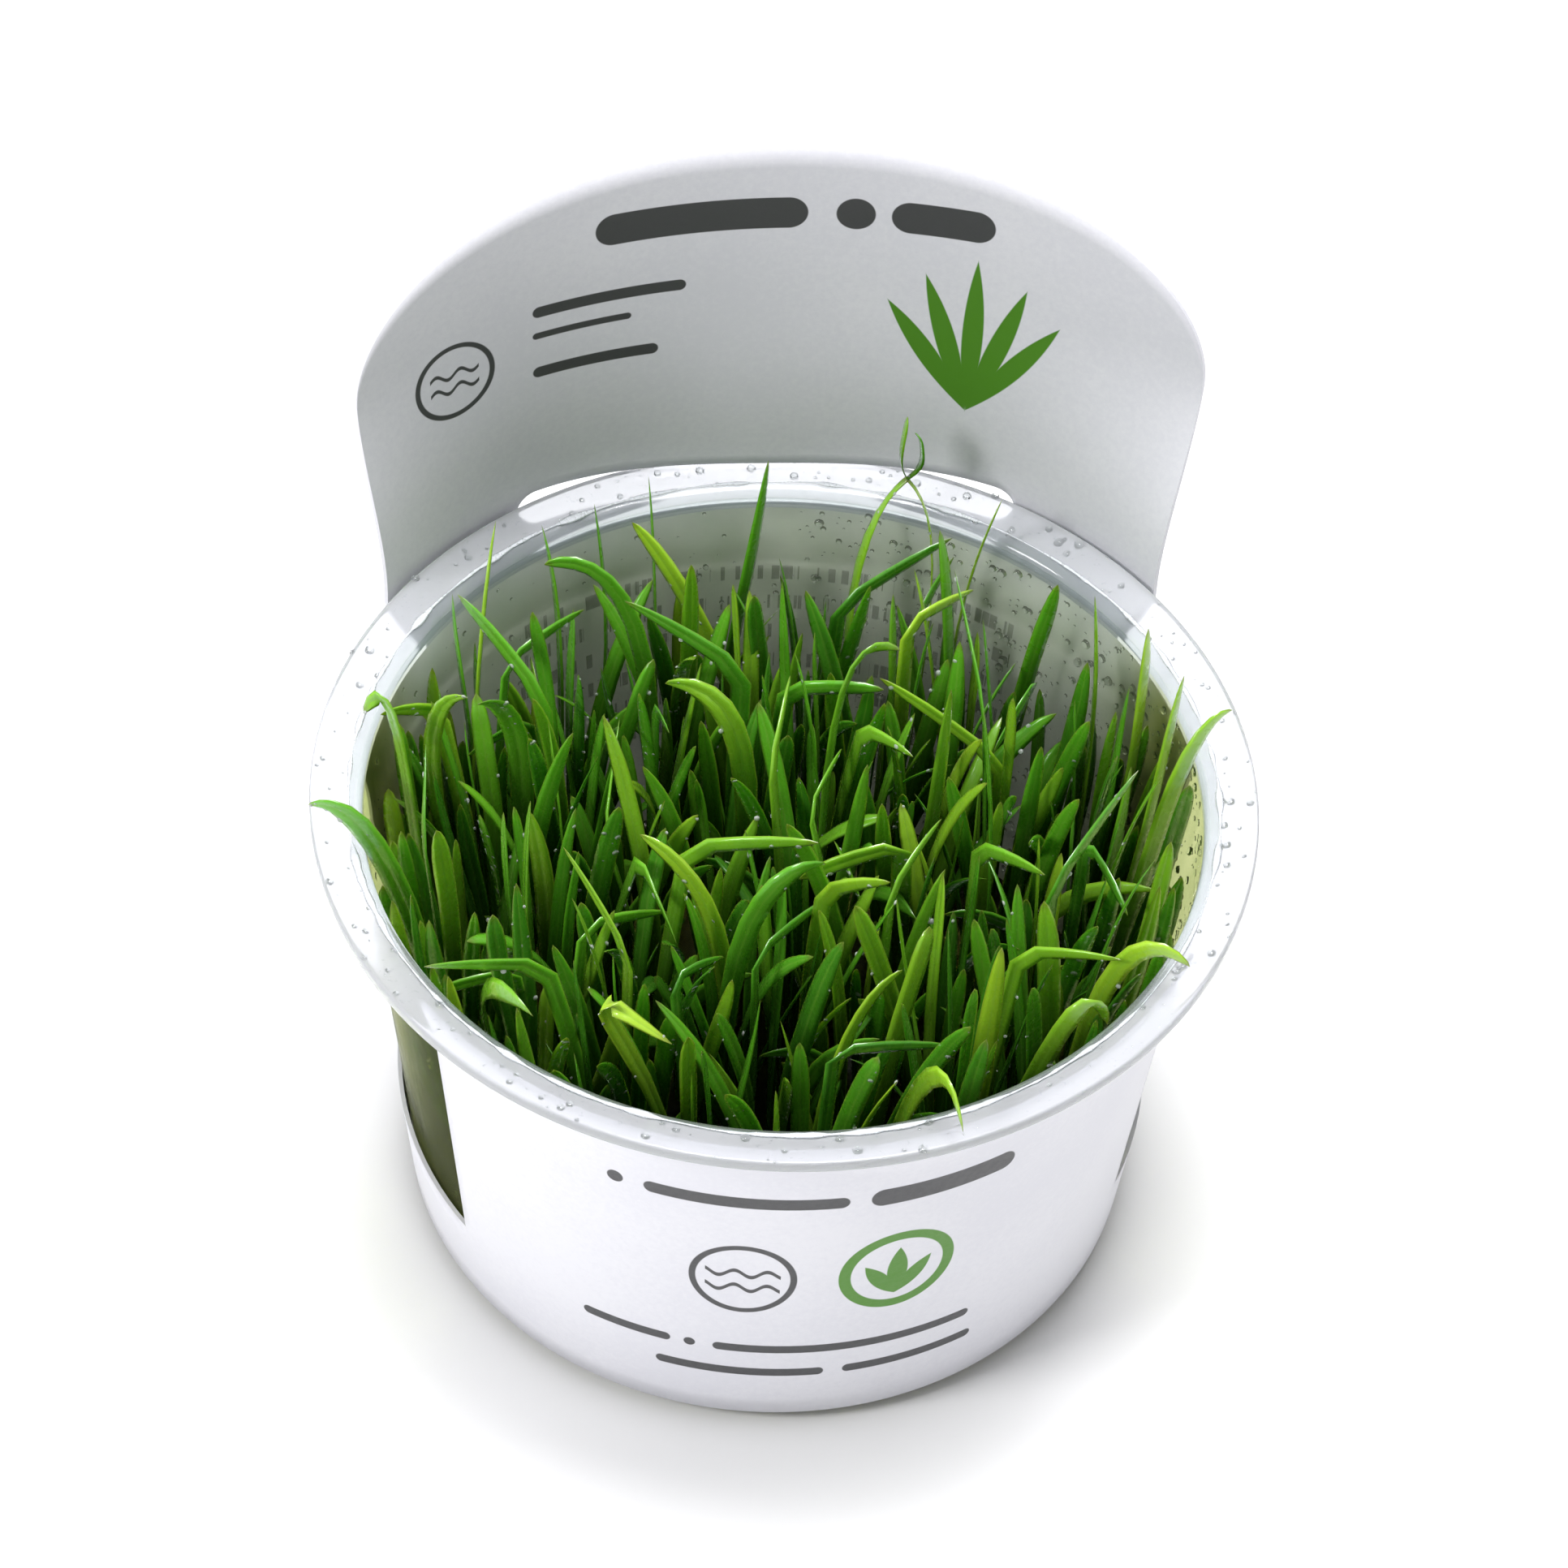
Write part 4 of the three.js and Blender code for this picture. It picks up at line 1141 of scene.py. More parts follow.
def small_leaf(number, random):
    """A narrow leaf of any length that leans its own way."""
    heading = random() * 2 * math.pi
    length = lerp(22, 50, random() ** 0.7)
    lean = math.radians(lerp(0, 14, random()))
    last_lean = math.radians(lerp(0, 70, random()))
    drift = lerp(-1.2, 1.2, random())
    spread = lerp(0.8, 3.0, random())
    foot = crowns[number] + np.array((spread * math.cos(heading), spread * math.sin(heading), 0.2))
    rise = leaning(foot, length * RISE_SHARE, lean / 2, heading)
    bend = leaning(rise, length * BEND_SHARE, lean, heading + drift / 2)
    tip = leaning(bend, length * TIP_SHARE, last_lean, heading + drift)
    facing = heading + math.pi / 2 + lerp(-1.2, 1.2, random())
    return Leaf(number, foot, rise, bend, tip, lerp(1.3, 3.0, random()), facing,
                lerp(-1.2, 1.2, random()), TURF_STATIONS)


def grow(place, make_leaf, attempts):
    """Keeps the first leaf for a crown or an azimuth that finds room, if any."""
    for _ in range(attempts):
        leaf = make_leaf(place, random)
        if clear_of_cup(leaf) and turf.has_room(leaf, "upper", THIN_CLEARANCE):
            turf.keep(leaf)
            return leaf
    return None


# %% [markdown]
# Some long leaves have folded under their own weight. A folded leaf rises in a bow to its knee,
# and from there goes on in another direction with a slight droop.

# %% Leaves with a fold
FOLDED_LEAVES_PER_PLANTLET, FOLDED_LEAF_SEED = 1, 812
KNEE = 0.7
FOLDED_STATIONS = (0, 0.35, KNEE, 0.85, 1)


class FoldedLeaf(Leaf):
    """A leaf that rises to a knee and goes on from it in another direction."""

    def at(self, t):
        """The place on the bow up to the knee, or on the stretch past it."""
        foot, rise, knee, tip = self.points
        if t < KNEE:
            u = t / KNEE
            return foot * (1 - u) ** 2 + rise * 2 * u * (1 - u) + knee * u * u
        u = (t - KNEE) / (1 - KNEE)
        droop = np.array((0, 0, 1.6 * u * (1 - u)))
        return lerp(knee, tip, u) + droop


def folded_leaf(number, random):
    """A leaf whose last third hangs over its neighbours."""
    heading = random() * 2 * math.pi
    foot = foot_on(crowns[number], heading, 1.6)
    lean = math.radians(lerp(0, 13, random()))
    height = lerp(32, 47, random() ** 0.6)
    rise = leaning(foot, height * 0.5, lean / 2, heading)
    knee = leaning(foot, height, lean, heading + lerp(-0.4, 0.4, random()))
    turned = heading + lerp(-1.6, 1.6, random())
    tip = leaning(knee, lerp(8, 17, random()), math.radians(lerp(48, 118, random())), turned)
    return FoldedLeaf(number, foot, rise, knee, tip, lerp(2.0, 3.4, random()),
                      turned + math.pi / 2 + lerp(-0.3, 0.3, random()), 0, FOLDED_STATIONS)


# %% [markdown]
# The wall is lined with leaves, some pressed flat on it where the card leaves a window, and some
# a little off it. They are laid out by azimuth, and each belongs to the crown that is nearest.

# %% Leaves that climb the wall
WALL_LEAF_SEED, WALL_LEAVES = 365, 150
WALL_FROM, WALL_TO = math.radians(55), math.radians(309)
WINDOW_LEAF_SEED, WINDOW_LEAVES = 97, 60
WINDOWS = [(math.radians(62), math.radians(128)), (math.radians(232), math.radians(304))]


def along_wall(azimuth, inset, side_step, top, width, turn, twist):
    """A leaf that goes up beside the wall from the crown that is nearest to it."""
    outwards = np.array((math.sin(azimuth), math.cos(azimuth), 0))
    distances = [np.hypot(*(crown - outwards * CROWN_DISC)[:2]) for crown in crowns]
    number = int(np.argmin(distances))

    def beside_wall(z, drift):
        place = azimuth + drift / inner_wall(z)
        radius = inner_wall(z) - inset
        return np.array((radius * math.sin(place), radius * math.cos(place), z))
    towards = beside_wall(GEL_TOP, 0) - crowns[number]
    foot = crowns[number] + towards * 0.45 + np.array((0, 0, 0.4))
    return Leaf(number, foot, beside_wall(top * 0.45, side_step * 0.1),
                beside_wall(top * 0.75, side_step * 0.4), beside_wall(top, side_step), width,
                turn - azimuth, twist, TURF_STATIONS)


def window_leaf(azimuth, random):
    """A leaf pressed nearly flat on the wall."""
    return along_wall(azimuth, lerp(0.95, 1.5, random()), lerp(-3, 3, random()),
                      lerp(40, 57, random()), lerp(2.6, 3.8, random()),
                      lerp(-0.15, 0.15, random()), lerp(-0.1, 0.1, random()))


def wall_leaf(azimuth, random):
    """A leaf a little off the wall."""
    return along_wall(azimuth, lerp(1.4, 3.6, random()), lerp(-5, 5, random()),
                      lerp(34, 61, random() ** 0.6), lerp(1.8, 3.3, random()),
                      lerp(-0.5, 0.5, random()), lerp(-0.4, 0.4, random()))


# %% [markdown]
# The four families grow one after the other, each from its own seed, so that a change to one
# doesn't shift the random draws of the others.

# %% Growing the extra leaves
random = make_random(FOLDED_LEAF_SEED)
folded = [grow(number, folded_leaf, attempts=24)
          for turn_number in range(FOLDED_LEAVES_PER_PLANTLET) for number in range(PLANTLETS)]
random = make_random(WINDOW_LEAF_SEED)
pressed = [grow(lerp(*window, (k + 0.5) / WINDOW_LEAVES), window_leaf, attempts=10)
           for window in WINDOWS for k in range(WINDOW_LEAVES)]
random = make_random(WALL_LEAF_SEED)
climbing = [grow(lerp(WALL_FROM, WALL_TO, (k + 0.5) / WALL_LEAVES), wall_leaf, attempts=8)
            for k in range(WALL_LEAVES)]
random = make_random(SMALL_LEAF_SEED)
small = [grow(number, small_leaf, attempts=16)
         for turn_number in range(SMALL_LEAVES_PER_PLANTLET) for number in range(PLANTLETS)]
for label, family in (("folded", folded), ("pressed", pressed), ("climbing", climbing),
                      ("small", small)):
    print(label, "leaves:", sum(leaf is not None for leaf in family))
print("leaves in all:", len(turf.leaves))

# %% [markdown]
# Two stems rise at the back, meet and end in a bud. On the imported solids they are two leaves
# that meet at their tips. Here each narrows to a thin stem up to the joint, and the bud and its
# sheath go on from there to the same height.

# %% Two stems and a bud
STEM_NUMBERS, STEM_WIDTH = (1, 2), 0.84
JOINT = np.array((16.4, 41.0, 62.5))
first_stem, second_stem = (turf.leaves[k] for k in STEM_NUMBERS)
first_stem.points[1:] = [np.array(p, float) for p in ((8, 34, 36), (9, 39, 57))] + [JOINT]
second_stem.points[1:] = [np.array(p, float) for p in ((20, 36, 34), (22.5, 39, 56))] + [JOINT]
bud = Leaf(first_stem.crown, JOINT, (15.2, 41, 65.5), (15.6, 41, 69), (16, 41, 72), 1.9, 0.1, 0,
           STANDING_STATIONS)
sheath = Leaf(first_stem.crown, JOINT, (18.6, 41, 65), (18.6, 41, 68), (16.9, 41, 69.5), 0.9, 0.3,
              0, STANDING_STATIONS)
turf.leaves += [bud, sheath]
first_stem.lower_half, second_stem.lower_half = 1.0, 0.65
first_stem.facing, second_stem.facing = 0.3, -0.2
first_stem.twist = second_stem.twist = 0
print("stems, bud and sheath added, leaves in all:", len(turf.leaves))

# %% [markdown]
# ## Blades by Geometry Nodes
# Every leaf is the same blade bent along its own curve, which is what Geometry Nodes are good
# at. A mesh of bare lines carries, at each point, the half width, the way the blade faces, a
# tint and the share of its length. The tree turns the lines to curves, sets their normals, and
# sweeps a flat section with a shallow groove down its middle along them.

# %% Blade tree


def new_tree(name, inputs):
    """A Geometry Nodes tree with geometry in and out and some named inputs."""
    tree = bpy.data.node_groups.new(name, "GeometryNodeTree")
    tree.interface.new_socket("Geometry", in_out="INPUT", socket_type="NodeSocketGeometry")
    for label, kind, value in inputs:
        socket = tree.interface.new_socket(label, in_out="INPUT", socket_type=kind)
        if value is not None:
            socket.default_value = value
    tree.interface.new_socket("Geometry", in_out="OUTPUT", socket_type="NodeSocketGeometry")
    return tree, add(tree, "NodeGroupInput"), add(tree, "NodeGroupOutput")


def set_inputs(modifier, values):
    """Sets a modifier's inputs by the identifiers of the sockets with these names."""
    for item in modifier.node_group.interface.items_tree:
        if item.item_type == "SOCKET" and item.in_out == "INPUT" and item.name in values:
            modifier[item.identifier] = values[item.name]


def made_plain(piece_object, name):
    """What a piece's modifiers make, as a new plain object of that name."""
    graph = bpy.context.evaluated_depsgraph_get()
    mesh = bpy.data.meshes.new_from_object(piece_object.evaluated_get(graph))
    old_mesh = piece_object.data
    bpy.data.objects.remove(piece_object)
    bpy.data.meshes.remove(old_mesh)
    mesh.name = name
    piece = bpy.data.objects.new(name, mesh)
    bpy.context.scene.collection.objects.link(piece)
    return piece


def named(tree, label, kind="FLOAT"):
    """An attribute that the geometry carries under a name."""
    return add(tree, "GeometryNodeInputNamedAttribute", {"Name": label}, data_type=kind).outputs[0]


def stored(tree, geometry, label, value):
    """The geometry with a value stored at each point under a name."""
    node = add(tree, "GeometryNodeStoreNamedAttribute",
               {"Geometry": geometry, "Name": label, "Value": value}, data_type="FLOAT")
    return node.outputs[0]


def finish_tree(tree, geometry, group_in, group_out):
    """Ends a tree: real geometry, smooth, with the finish that was given."""
    geometry = add(tree, "GeometryNodeRealizeInstances", {0: geometry}).outputs[0]
    geometry = add(tree, "GeometryNodeSetShadeSmooth", {"Geometry": geometry}).outputs[0]
    geometry = add(tree, "GeometryNodeSetMaterial",
                   {"Geometry": geometry, "Material": group_in.outputs["Finish"]}).outputs[0]
    tree.links.new(geometry, group_out.inputs[0])


# Across the blade and out of its face, in shares of the half width
BLADE_SECTION = [(-1.0, 0.0), (-0.62, 0.15), (-0.16, 0.12), (0.0, 0.03), (0.16, 0.12), (0.62, 0.15),
                 (1.0, 0.0), (0.45, -0.17), (-0.45, -0.17)]

section_mesh = bpy.data.meshes.new("blade_section")
section_count = len(BLADE_SECTION)
section_mesh.from_pydata([(x, y, 0) for x, y in BLADE_SECTION],
                         [(i, (i + 1) % section_count) for i in range(section_count)], [])
section_object = bpy.data.objects.new("blade_section", section_mesh)

blade_tree, group_in, group_out = new_tree("leaf_blades", [
    ("Section", "NodeSocketObject", None), ("Finish", "NodeSocketMaterial", None)])
lines = add(blade_tree, "GeometryNodeMeshToCurve", {0: group_in.outputs["Geometry"]}).outputs[0]
lines = add(blade_tree, "GeometryNodeSetCurveNormal",
            {"Curve": lines, "Normal": named(blade_tree, "face", "FLOAT_VECTOR")},
            mode="FREE").outputs[0]
section = add(blade_tree, "GeometryNodeObjectInfo",
              {"Object": group_in.outputs["Section"]}).outputs["Geometry"]
section = add(blade_tree, "GeometryNodeMeshToCurve", {0: section}).outputs[0]
section_x = add(blade_tree, "ShaderNodeSeparateXYZ",
                {0: add(blade_tree, "GeometryNodeInputPosition").outputs[0]}).outputs[0]
section = stored(blade_tree, section, "across", section_x)
swept = add(blade_tree, "GeometryNodeCurveToMesh",
            {"Curve": lines, "Profile Curve": section, "Scale": named(blade_tree, "half"),
             "Fill Caps": True}).outputs[0]
finish_tree(blade_tree, swept, group_in, group_out)
print("blade section:", section_count, "points")

# %% [markdown]
# ## Leaf finish
# A living blade is deepest green where it is old and yellow green where it is young. It has
# fine veins along it, a paler groove, darker and faintly brown edges near the tip, and a wet
# gloss. Each blade is also painted darker towards its foot. Low in the turf it is painted darker
# and less glossy as painted shade, and high up it is painted brighter as painted light.
# Attributes that the sweep stored say where on the blade a point is.

# %% Leaf material
leaf_green, tree, shader = new_material(
    "leaf_green", Base_Color=(0.06, 0.26, 0.02, 1), Roughness=0.3, IOR=1.42,
    Subsurface_Weight=0.25, Subsurface_Radius=(0.6, 1.0, 0.2), Subsurface_Scale=0.0012,
    Coat_Weight=0.8, Coat_Roughness=0.08)
shader.subsurface_method = "RANDOM_WALK"


def attribute(tree, label):
    """A value that the blade tree stored, for a material."""
    return add(tree, "ShaderNodeAttribute", attribute_name=label).outputs["Fac"]


def less_than_full(tree, value):
    """What is left of 1."""
    return calc(tree, "SUBTRACT", 1.0, value)


tint, along, across = (attribute(tree, label) for label in ("tint", "along", "across"))
where = object_coordinates(tree)
off_middle = calc(tree, "ABSOLUTE", across)
OLD_GREEN, MID_GREEN = (0.030, 0.150, 0.010), (0.095, 0.330, 0.014)
YOUNG_GREEN, PATCH_GREEN = (0.310, 0.520, 0.025), (0.12, 0.36, 0.03)
SHADED_GREEN, DEPTH_SHADE_GREEN = (0.016, 0.06, 0.005), (0.008, 0.030, 0.004)
VEIN_GREEN, GROOVE_GREEN = (0.02, 0.10, 0.006), (0.20, 0.40, 0.05)
EDGE_BROWN, TIP_BROWN = (0.045, 0.075, 0.008), (0.10, 0.085, 0.02)
color = blend_colors(tree, ramp(tree, tint, 0.0, 0.5), OLD_GREEN, MID_GREEN)
color = blend_colors(tree, ramp(tree, tint, 0.5, 1.0), color, YOUNG_GREEN)
lit = ramp(tree, along, 0.1, 0.85)
color = blend_colors(tree, calc(tree, "MULTIPLY", less_than_full(tree, lit), 0.78),
                     color, SHADED_GREEN)
patches = noise(tree, where, 260, 3)
color = blend_colors(tree, ramp(tree, patches, 0.45, 0.75, 0.0, 0.22), color, PATCH_GREEN)
veins = add(tree, "ShaderNodeTexWave", {
    "Vector": add(tree, "ShaderNodeCombineXYZ",
                  {0: across, 1: calc(tree, "MULTIPLY", along, 0.4)}).outputs[0],
    "Scale": 2.2, "Distortion": 1.2, "Detail": 2.0}, bands_direction="X").outputs["Fac"]
color = blend_colors(tree, calc(tree, "MULTIPLY", veins, 0.10), color, VEIN_GREEN)
groove = ramp(tree, off_middle, 0.0, 0.2, 0.28, 0.0)
color = blend_colors(tree, groove, color, GROOVE_GREEN)
edge = calc(tree, "MULTIPLY", ramp(tree, off_middle, 0.78, 0.98), ramp(tree, along, 0.6, 1.0))
color = blend_colors(tree, calc(tree, "MULTIPLY", edge, 0.5), color, EDGE_BROWN)
tip = ramp(tree, along, 0.955, 1.0)
color = blend_colors(tree, calc(tree, "MULTIPLY", tip, 0.65), color, TIP_BROWN)
# Painted shade and light by height: the colour darkens and loses gloss low in the turf and is
# brightened high up.
height = add(tree, "ShaderNodeSeparateXYZ", {0: where}).outputs["Z"]
painted_height_light = ramp(tree, height, 30 * MM, 56 * MM)
color = blend_colors(tree, calc(tree, "MULTIPLY", less_than_full(tree, painted_height_light), 0.6),
                     color, DEPTH_SHADE_GREEN)
painted_top_light = add(tree, "ShaderNodeVectorMath", {
    0: color, "Scale": ramp(tree, painted_height_light, 0.0, 1.0, 0.86, 1.24)}, operation="SCALE")
tree.links.new(painted_top_light.outputs[0], shader.inputs["Base Color"])
tree.links.new(calc(tree, "MULTIPLY", painted_height_light, 0.8), shader.inputs["Coat Weight"])
tree.links.new(ramp(tree, painted_height_light, 0.0, 1.0, 0.06, 0.5), shader.inputs["Specular IOR Level"])
tree.links.new(ramp(tree, noise(tree, where, 700, 2), 0.3, 0.7, 0.16, 0.42),
               shader.inputs["Roughness"])
relief = calc(tree, "ADD", calc(tree, "MULTIPLY", veins, 0.6), noise(tree, where, 1500, 2))
give_relief(tree, shader, relief, 0.12, 0.00025)
print("leaf finish:", len(tree.nodes), "nodes")

# %% [markdown]
# Each leaf gets a tint, a gentle sway and a place where its nose begins. The listed leaves that
# stand out of the turf and are young in the picture are the yellowest. Then one object for each
# plantlet carries its leaves' lines, gets the blade tree, and is turned to a plain mesh that
# stands for its solid.

# %% Tufts
BLADE_POINTS, TINT_SEED = 13, 99
YOUNG_STANDING = {1, 2, 3, 6, 9, 13, 14, 15, 16, 17, 18, 19, 20, 22, 23, 24, 31}
tint_random = make_random(TINT_SEED)
for index, leaf in enumerate(turf.leaves):
    leaf.tint = 0.15 + 0.65 * tint_random() ** 1.3 + (0.25 if tint_random() > 0.8 else 0)
    leaf.wobble = [(tint_random() - 0.5) * 2 for _ in range(4)]
    leaf.nose_from = 0.62 + 0.26 * (index * 0.618 % 1)
    if index < len(STANDING_LEAVES) and index in YOUNG_STANDING:
        leaf.tint = 0.72 + 0.28 * tint_random()
    elif index < len(STANDING_LEAVES):
        leaf.tint = 0.5 + 0.3 * tint_random()


def blade_lines(leaves, name):
    """A mesh of bare lines, one for each leaf, with what the sweep needs at each point."""
    places, edges = [], []
    columns_of = {"half": [], "tint": [], "along": []}
    faces = []
    shares = [1 - (1 - i / (BLADE_POINTS - 1)) ** 1.6 for i in range(BLADE_POINTS)]
    for leaf in leaves:
        points, side, face, half = leaf.frames(shares)
        first = len(places)
        for i, t in enumerate(shares):
            sway = leaf.wobble[0] * math.sin(t * 5 + leaf.wobble[1] * 3) * t * (1 - t) * 1.6
            lift = leaf.wobble[2] * math.sin(t * 7 + leaf.wobble[3] * 3) * t * (1 - t) * 0.8
            places.append(tuple((points[i] + side[i] * sway + face[i] * lift) * MM))
            columns_of["half"].append(max(leaf.blade_half(t), 0.03) * MM)
            columns_of["tint"].append(leaf.tint)
            columns_of["along"].append(t)
            faces.append(face[i])
        edges += [(first + i, first + i + 1) for i in range(BLADE_POINTS - 1)]
    mesh = bpy.data.meshes.new(name)
    mesh.from_pydata(places, edges, [])
    for label, values in columns_of.items():
        mesh.attributes.new(label, "FLOAT", "POINT").data.foreach_set("value", values)
    mesh.attributes.new("face", "FLOAT_VECTOR", "POINT").data.foreach_set(
        "vector", np.array(faces).ravel())
    return mesh


tufts = []
for number in range(PLANTLETS):
    node = f"plantlet_{number + 1:02d}"
    own = [leaf for leaf in turf.leaves if leaf.crown == number]
    lines_object = new_piece(f"{node}_lines", blade_lines(own, f"{node}_lines"))
    modifier = lines_object.modifiers.new("blades", "NODES")
    modifier.node_group = blade_tree
    set_inputs(modifier, {"Section": section_object, "Finish": leaf_green})
    tuft = made_plain(lines_object, f"tuft_{number + 1:02d}")
    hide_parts(node)
    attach(tuft, "root")
    tufts.append(tuft)
print("tufts:", len(tufts), "with", sum(len(t.data.polygons) for t in tufts), "faces")
apart = 0.0
for number, tuft in enumerate(tufts):
    low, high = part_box(f"plantlet_{number + 1:02d}")
    corners = np.array([v.co for v in tuft.data.vertices])
    apart = max(apart, abs(high.z - corners[:, 2].max()))
print("largest difference in height to the solids in mm:", round(apart / MM, 2))

# %% [markdown]
# ## Drops of water
# Nearly everything in the cup is wet. Small drops sit on the leaves, hang on the wall and lie on
# the flange. One tree scatters a low dome over any surface, turned to face out of it, in sizes
# that are mostly small. The surfaces are chosen faces of the pieces that are made already.

# %% Drop shape and tree
DROP_SIDES, DROP_RINGS, DROP_TOP = 8, ((1.0, -0.12), (0.90, 0.30), (0.55, 0.54)), 0.62
drop_places, drop_faces = [], [tuple(range(DROP_SIDES))[::-1]]
for radius, height in DROP_RINGS:
    for k in range(DROP_SIDES):
        turn = 2 * math.pi * k / DROP_SIDES
        drop_places.append((radius * math.cos(turn), radius * math.sin(turn), height))
drop_places.append((0, 0, DROP_TOP))
for k in range(DROP_SIDES):
    after = (k + 1) % DROP_SIDES
    for first in range(0, DROP_SIDES * (len(DROP_RINGS) - 1), DROP_SIDES):
        drop_faces.append((first + k, first + after, first + DROP_SIDES + after,
                           first + DROP_SIDES + k))
    last = DROP_SIDES * (len(DROP_RINGS) - 1)
    drop_faces.append((last + k, last + after, len(drop_places) - 1))
drop_mesh = bpy.data.meshes.new("drop")
drop_mesh.from_pydata(drop_places, [], drop_faces)
drop_object = bpy.data.objects.new("drop", drop_mesh)

drop_tree, group_in, group_out = new_tree("scattered_drops", [
    ("Drop", "NodeSocketObject", None), ("Finish", "NodeSocketMaterial", None),
    ("Density", "NodeSocketFloat", 1000.0), ("Smallest", "NodeSocketFloat", 0.0001),
    ("Largest", "NodeSocketFloat", 0.0004), ("Seed", "NodeSocketInt", 1)])
scatter = add(drop_tree, "GeometryNodeDistributePointsOnFaces",
              {"Mesh": group_in.outputs["Geometry"], "Density": group_in.outputs["Density"],
               "Seed": group_in.outputs["Seed"]})
share = add(drop_tree, "FunctionNodeRandomValue",
            {"Seed": group_in.outputs["Seed"]}, data_type="FLOAT").outputs[1]
share = calc(drop_tree, "POWER", share, 2.6)
reach = calc(drop_tree, "SUBTRACT", group_in.outputs["Largest"], group_in.outputs["Smallest"])
size = calc(drop_tree, "ADD", group_in.outputs["Smallest"],
            calc(drop_tree, "MULTIPLY", reach, share))
shape = add(drop_tree, "GeometryNodeObjectInfo",
            {"Object": group_in.outputs["Drop"]}).outputs["Geometry"]
placed = add(drop_tree, "GeometryNodeInstanceOnPoints",
             {"Points": scatter.outputs["Points"], "Instance": shape,
              "Rotation": scatter.outputs["Rotation"], "Scale": size}).outputs[0]
finish_tree(drop_tree, placed, group_in, group_out)
print("one drop:", len(drop_faces), "faces")

# %% [markdown]
# The drops on the plastic are clear water. Those on the leaves are dew that transmits less and
# shows as pale beads, a painted highlight for the lamps' glints in such small drops. A helper
# picks the faces that get drops, and another runs the tree on them.

# %% Water


def drop_finish(name, color, transmission, smallest_roughness, largest_roughness, roughness):
    """Water whose gloss varies a little from drop to drop."""
    material, tree, shader = new_material(
        name, Base_Color=color, Roughness=roughness, IOR=1.333, Transmission_Weight=transmission)
    cloud = noise(tree, object_coordinates(tree), 900, 2)
    tree.links.new(ramp(tree, cloud, 0.3, 0.7, smallest_roughness, largest_roughness),
                   shader.inputs["Roughness"])
    return material


water = drop_finish("water", (0.97, 0.99, 0.98, 1), 1.0, 0.0, 0.06, 0.02)
# Painted highlight: the dew's milky white stands for the lamps' glints on tiny drops.
dew = drop_finish("dew", (0.93, 0.97, 0.96, 1), 0.62, 0.04, 0.14, 0.08)


def chosen_faces(meshes, wanted, name):
    """A mesh of the faces whose middle (in millimetres) and normal are wanted."""
    places, faces = [], []
    for mesh in meshes:
        corners = np.empty(len(mesh.vertices) * 3)
        mesh.vertices.foreach_get("co", corners)
        first = len(places)
        kept = [p for p in mesh.polygons if wanted(p.center / MM, p.normal)]
        numbers = sorted({v for p in kept for v in p.vertices})
        new_number = {v: first + i for i, v in enumerate(numbers)}
        places += [tuple(row) for row in corners.reshape(-1, 3)[numbers]]
        faces += [tuple(new_number[v] for v in p.vertices) for p in kept]
    mesh = bpy.data.meshes.new(name)
    mesh.from_pydata(places, [], faces)
    return mesh


def drops_on(name, meshes, wanted, finish, density, smallest, largest, seed):
    """Drops scattered over chosen faces, as one piece; the density is for a square metre."""
    ground = new_piece(f"{name}_ground", chosen_faces(meshes, wanted, f"{name}_ground"))
    modifier = ground.modifiers.new("drops", "NODES")
    modifier.node_group = drop_tree
    set_inputs(modifier, {"Drop": drop_object, "Finish": finish, "Density": density,
                          "Smallest": smallest * MM, "Largest": largest * MM, "Seed": seed})
    piece = made_plain(ground, name)
    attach(piece, "root")
    print(name, "faces:", len(piece.data.polygons))


# %% [markdown]
# Most of the condensation is on the wall at the right, so the wall gets two sets of drops, a
# dense one there and a thin one of smaller drops on the rest. Leaves get dew on the faces that
# look up, and the flange gets drops outside its lip.

# %% Drops on the leaves, the wall and the flange
WET_FROM, WET_TO = 18, 54.5
DEW_FROM, DEW_SLOPE = 34, 0.12
WET_SIDE_X, WET_SIDE_Y = 6, -12


def upper_leaf(middle, normal):
    """The upper faces of the blades, above the turf's dark depth."""
    return middle.z > DEW_FROM and normal.z > DEW_SLOPE


def inner_side(middle, normal):
    """The wall's inner side between the leaves' feet and the lip."""
    inwards = normal.x * middle.x + normal.y * middle.y < -20
    return inwards and WET_FROM < middle.z < WET_TO


def wet_wall(middle, normal):
    """The inner wall at the right, which carries the most condensation."""
    return inner_side(middle, normal) and middle.y > WET_SIDE_Y and middle.x > WET_SIDE_X


def other_wall(middle, normal):
    """The rest of the inner wall."""
    return inner_side(middle, normal) and not wet_wall(middle, normal)


def flange_top(middle, normal):
    """The flange's upper side, outside its lip."""
    return normal.z > 0.5 and middle.z > 57 and middle.xy.length > LIP_RADIUS


drops_on("leaf_drops", [tuft.data for tuft in tufts], upper_leaf, dew,
         density=330000, smallest=0.07, largest=0.40, seed=5)
drops_on("wall_drops", [cup_mesh], wet_wall, water,
         density=380000, smallest=0.12, largest=0.62, seed=6)
drops_on("back_drops", [cup_mesh], other_wall, water,
         density=60000, smallest=0.10, largest=0.40, seed=7)
drops_on("flange_drops", [cup_mesh], flange_top, water,
         density=170000, smallest=0.12, largest=0.60, seed=8)

# %% [markdown]
# ## The torn film
# The cup was sealed with a film, and a thin white shred of it is left round the mouth. A ring
# of points goes round the flange's inner edge. The tree moves them a little by noise and sweeps
# a flat section of a changing width along them.

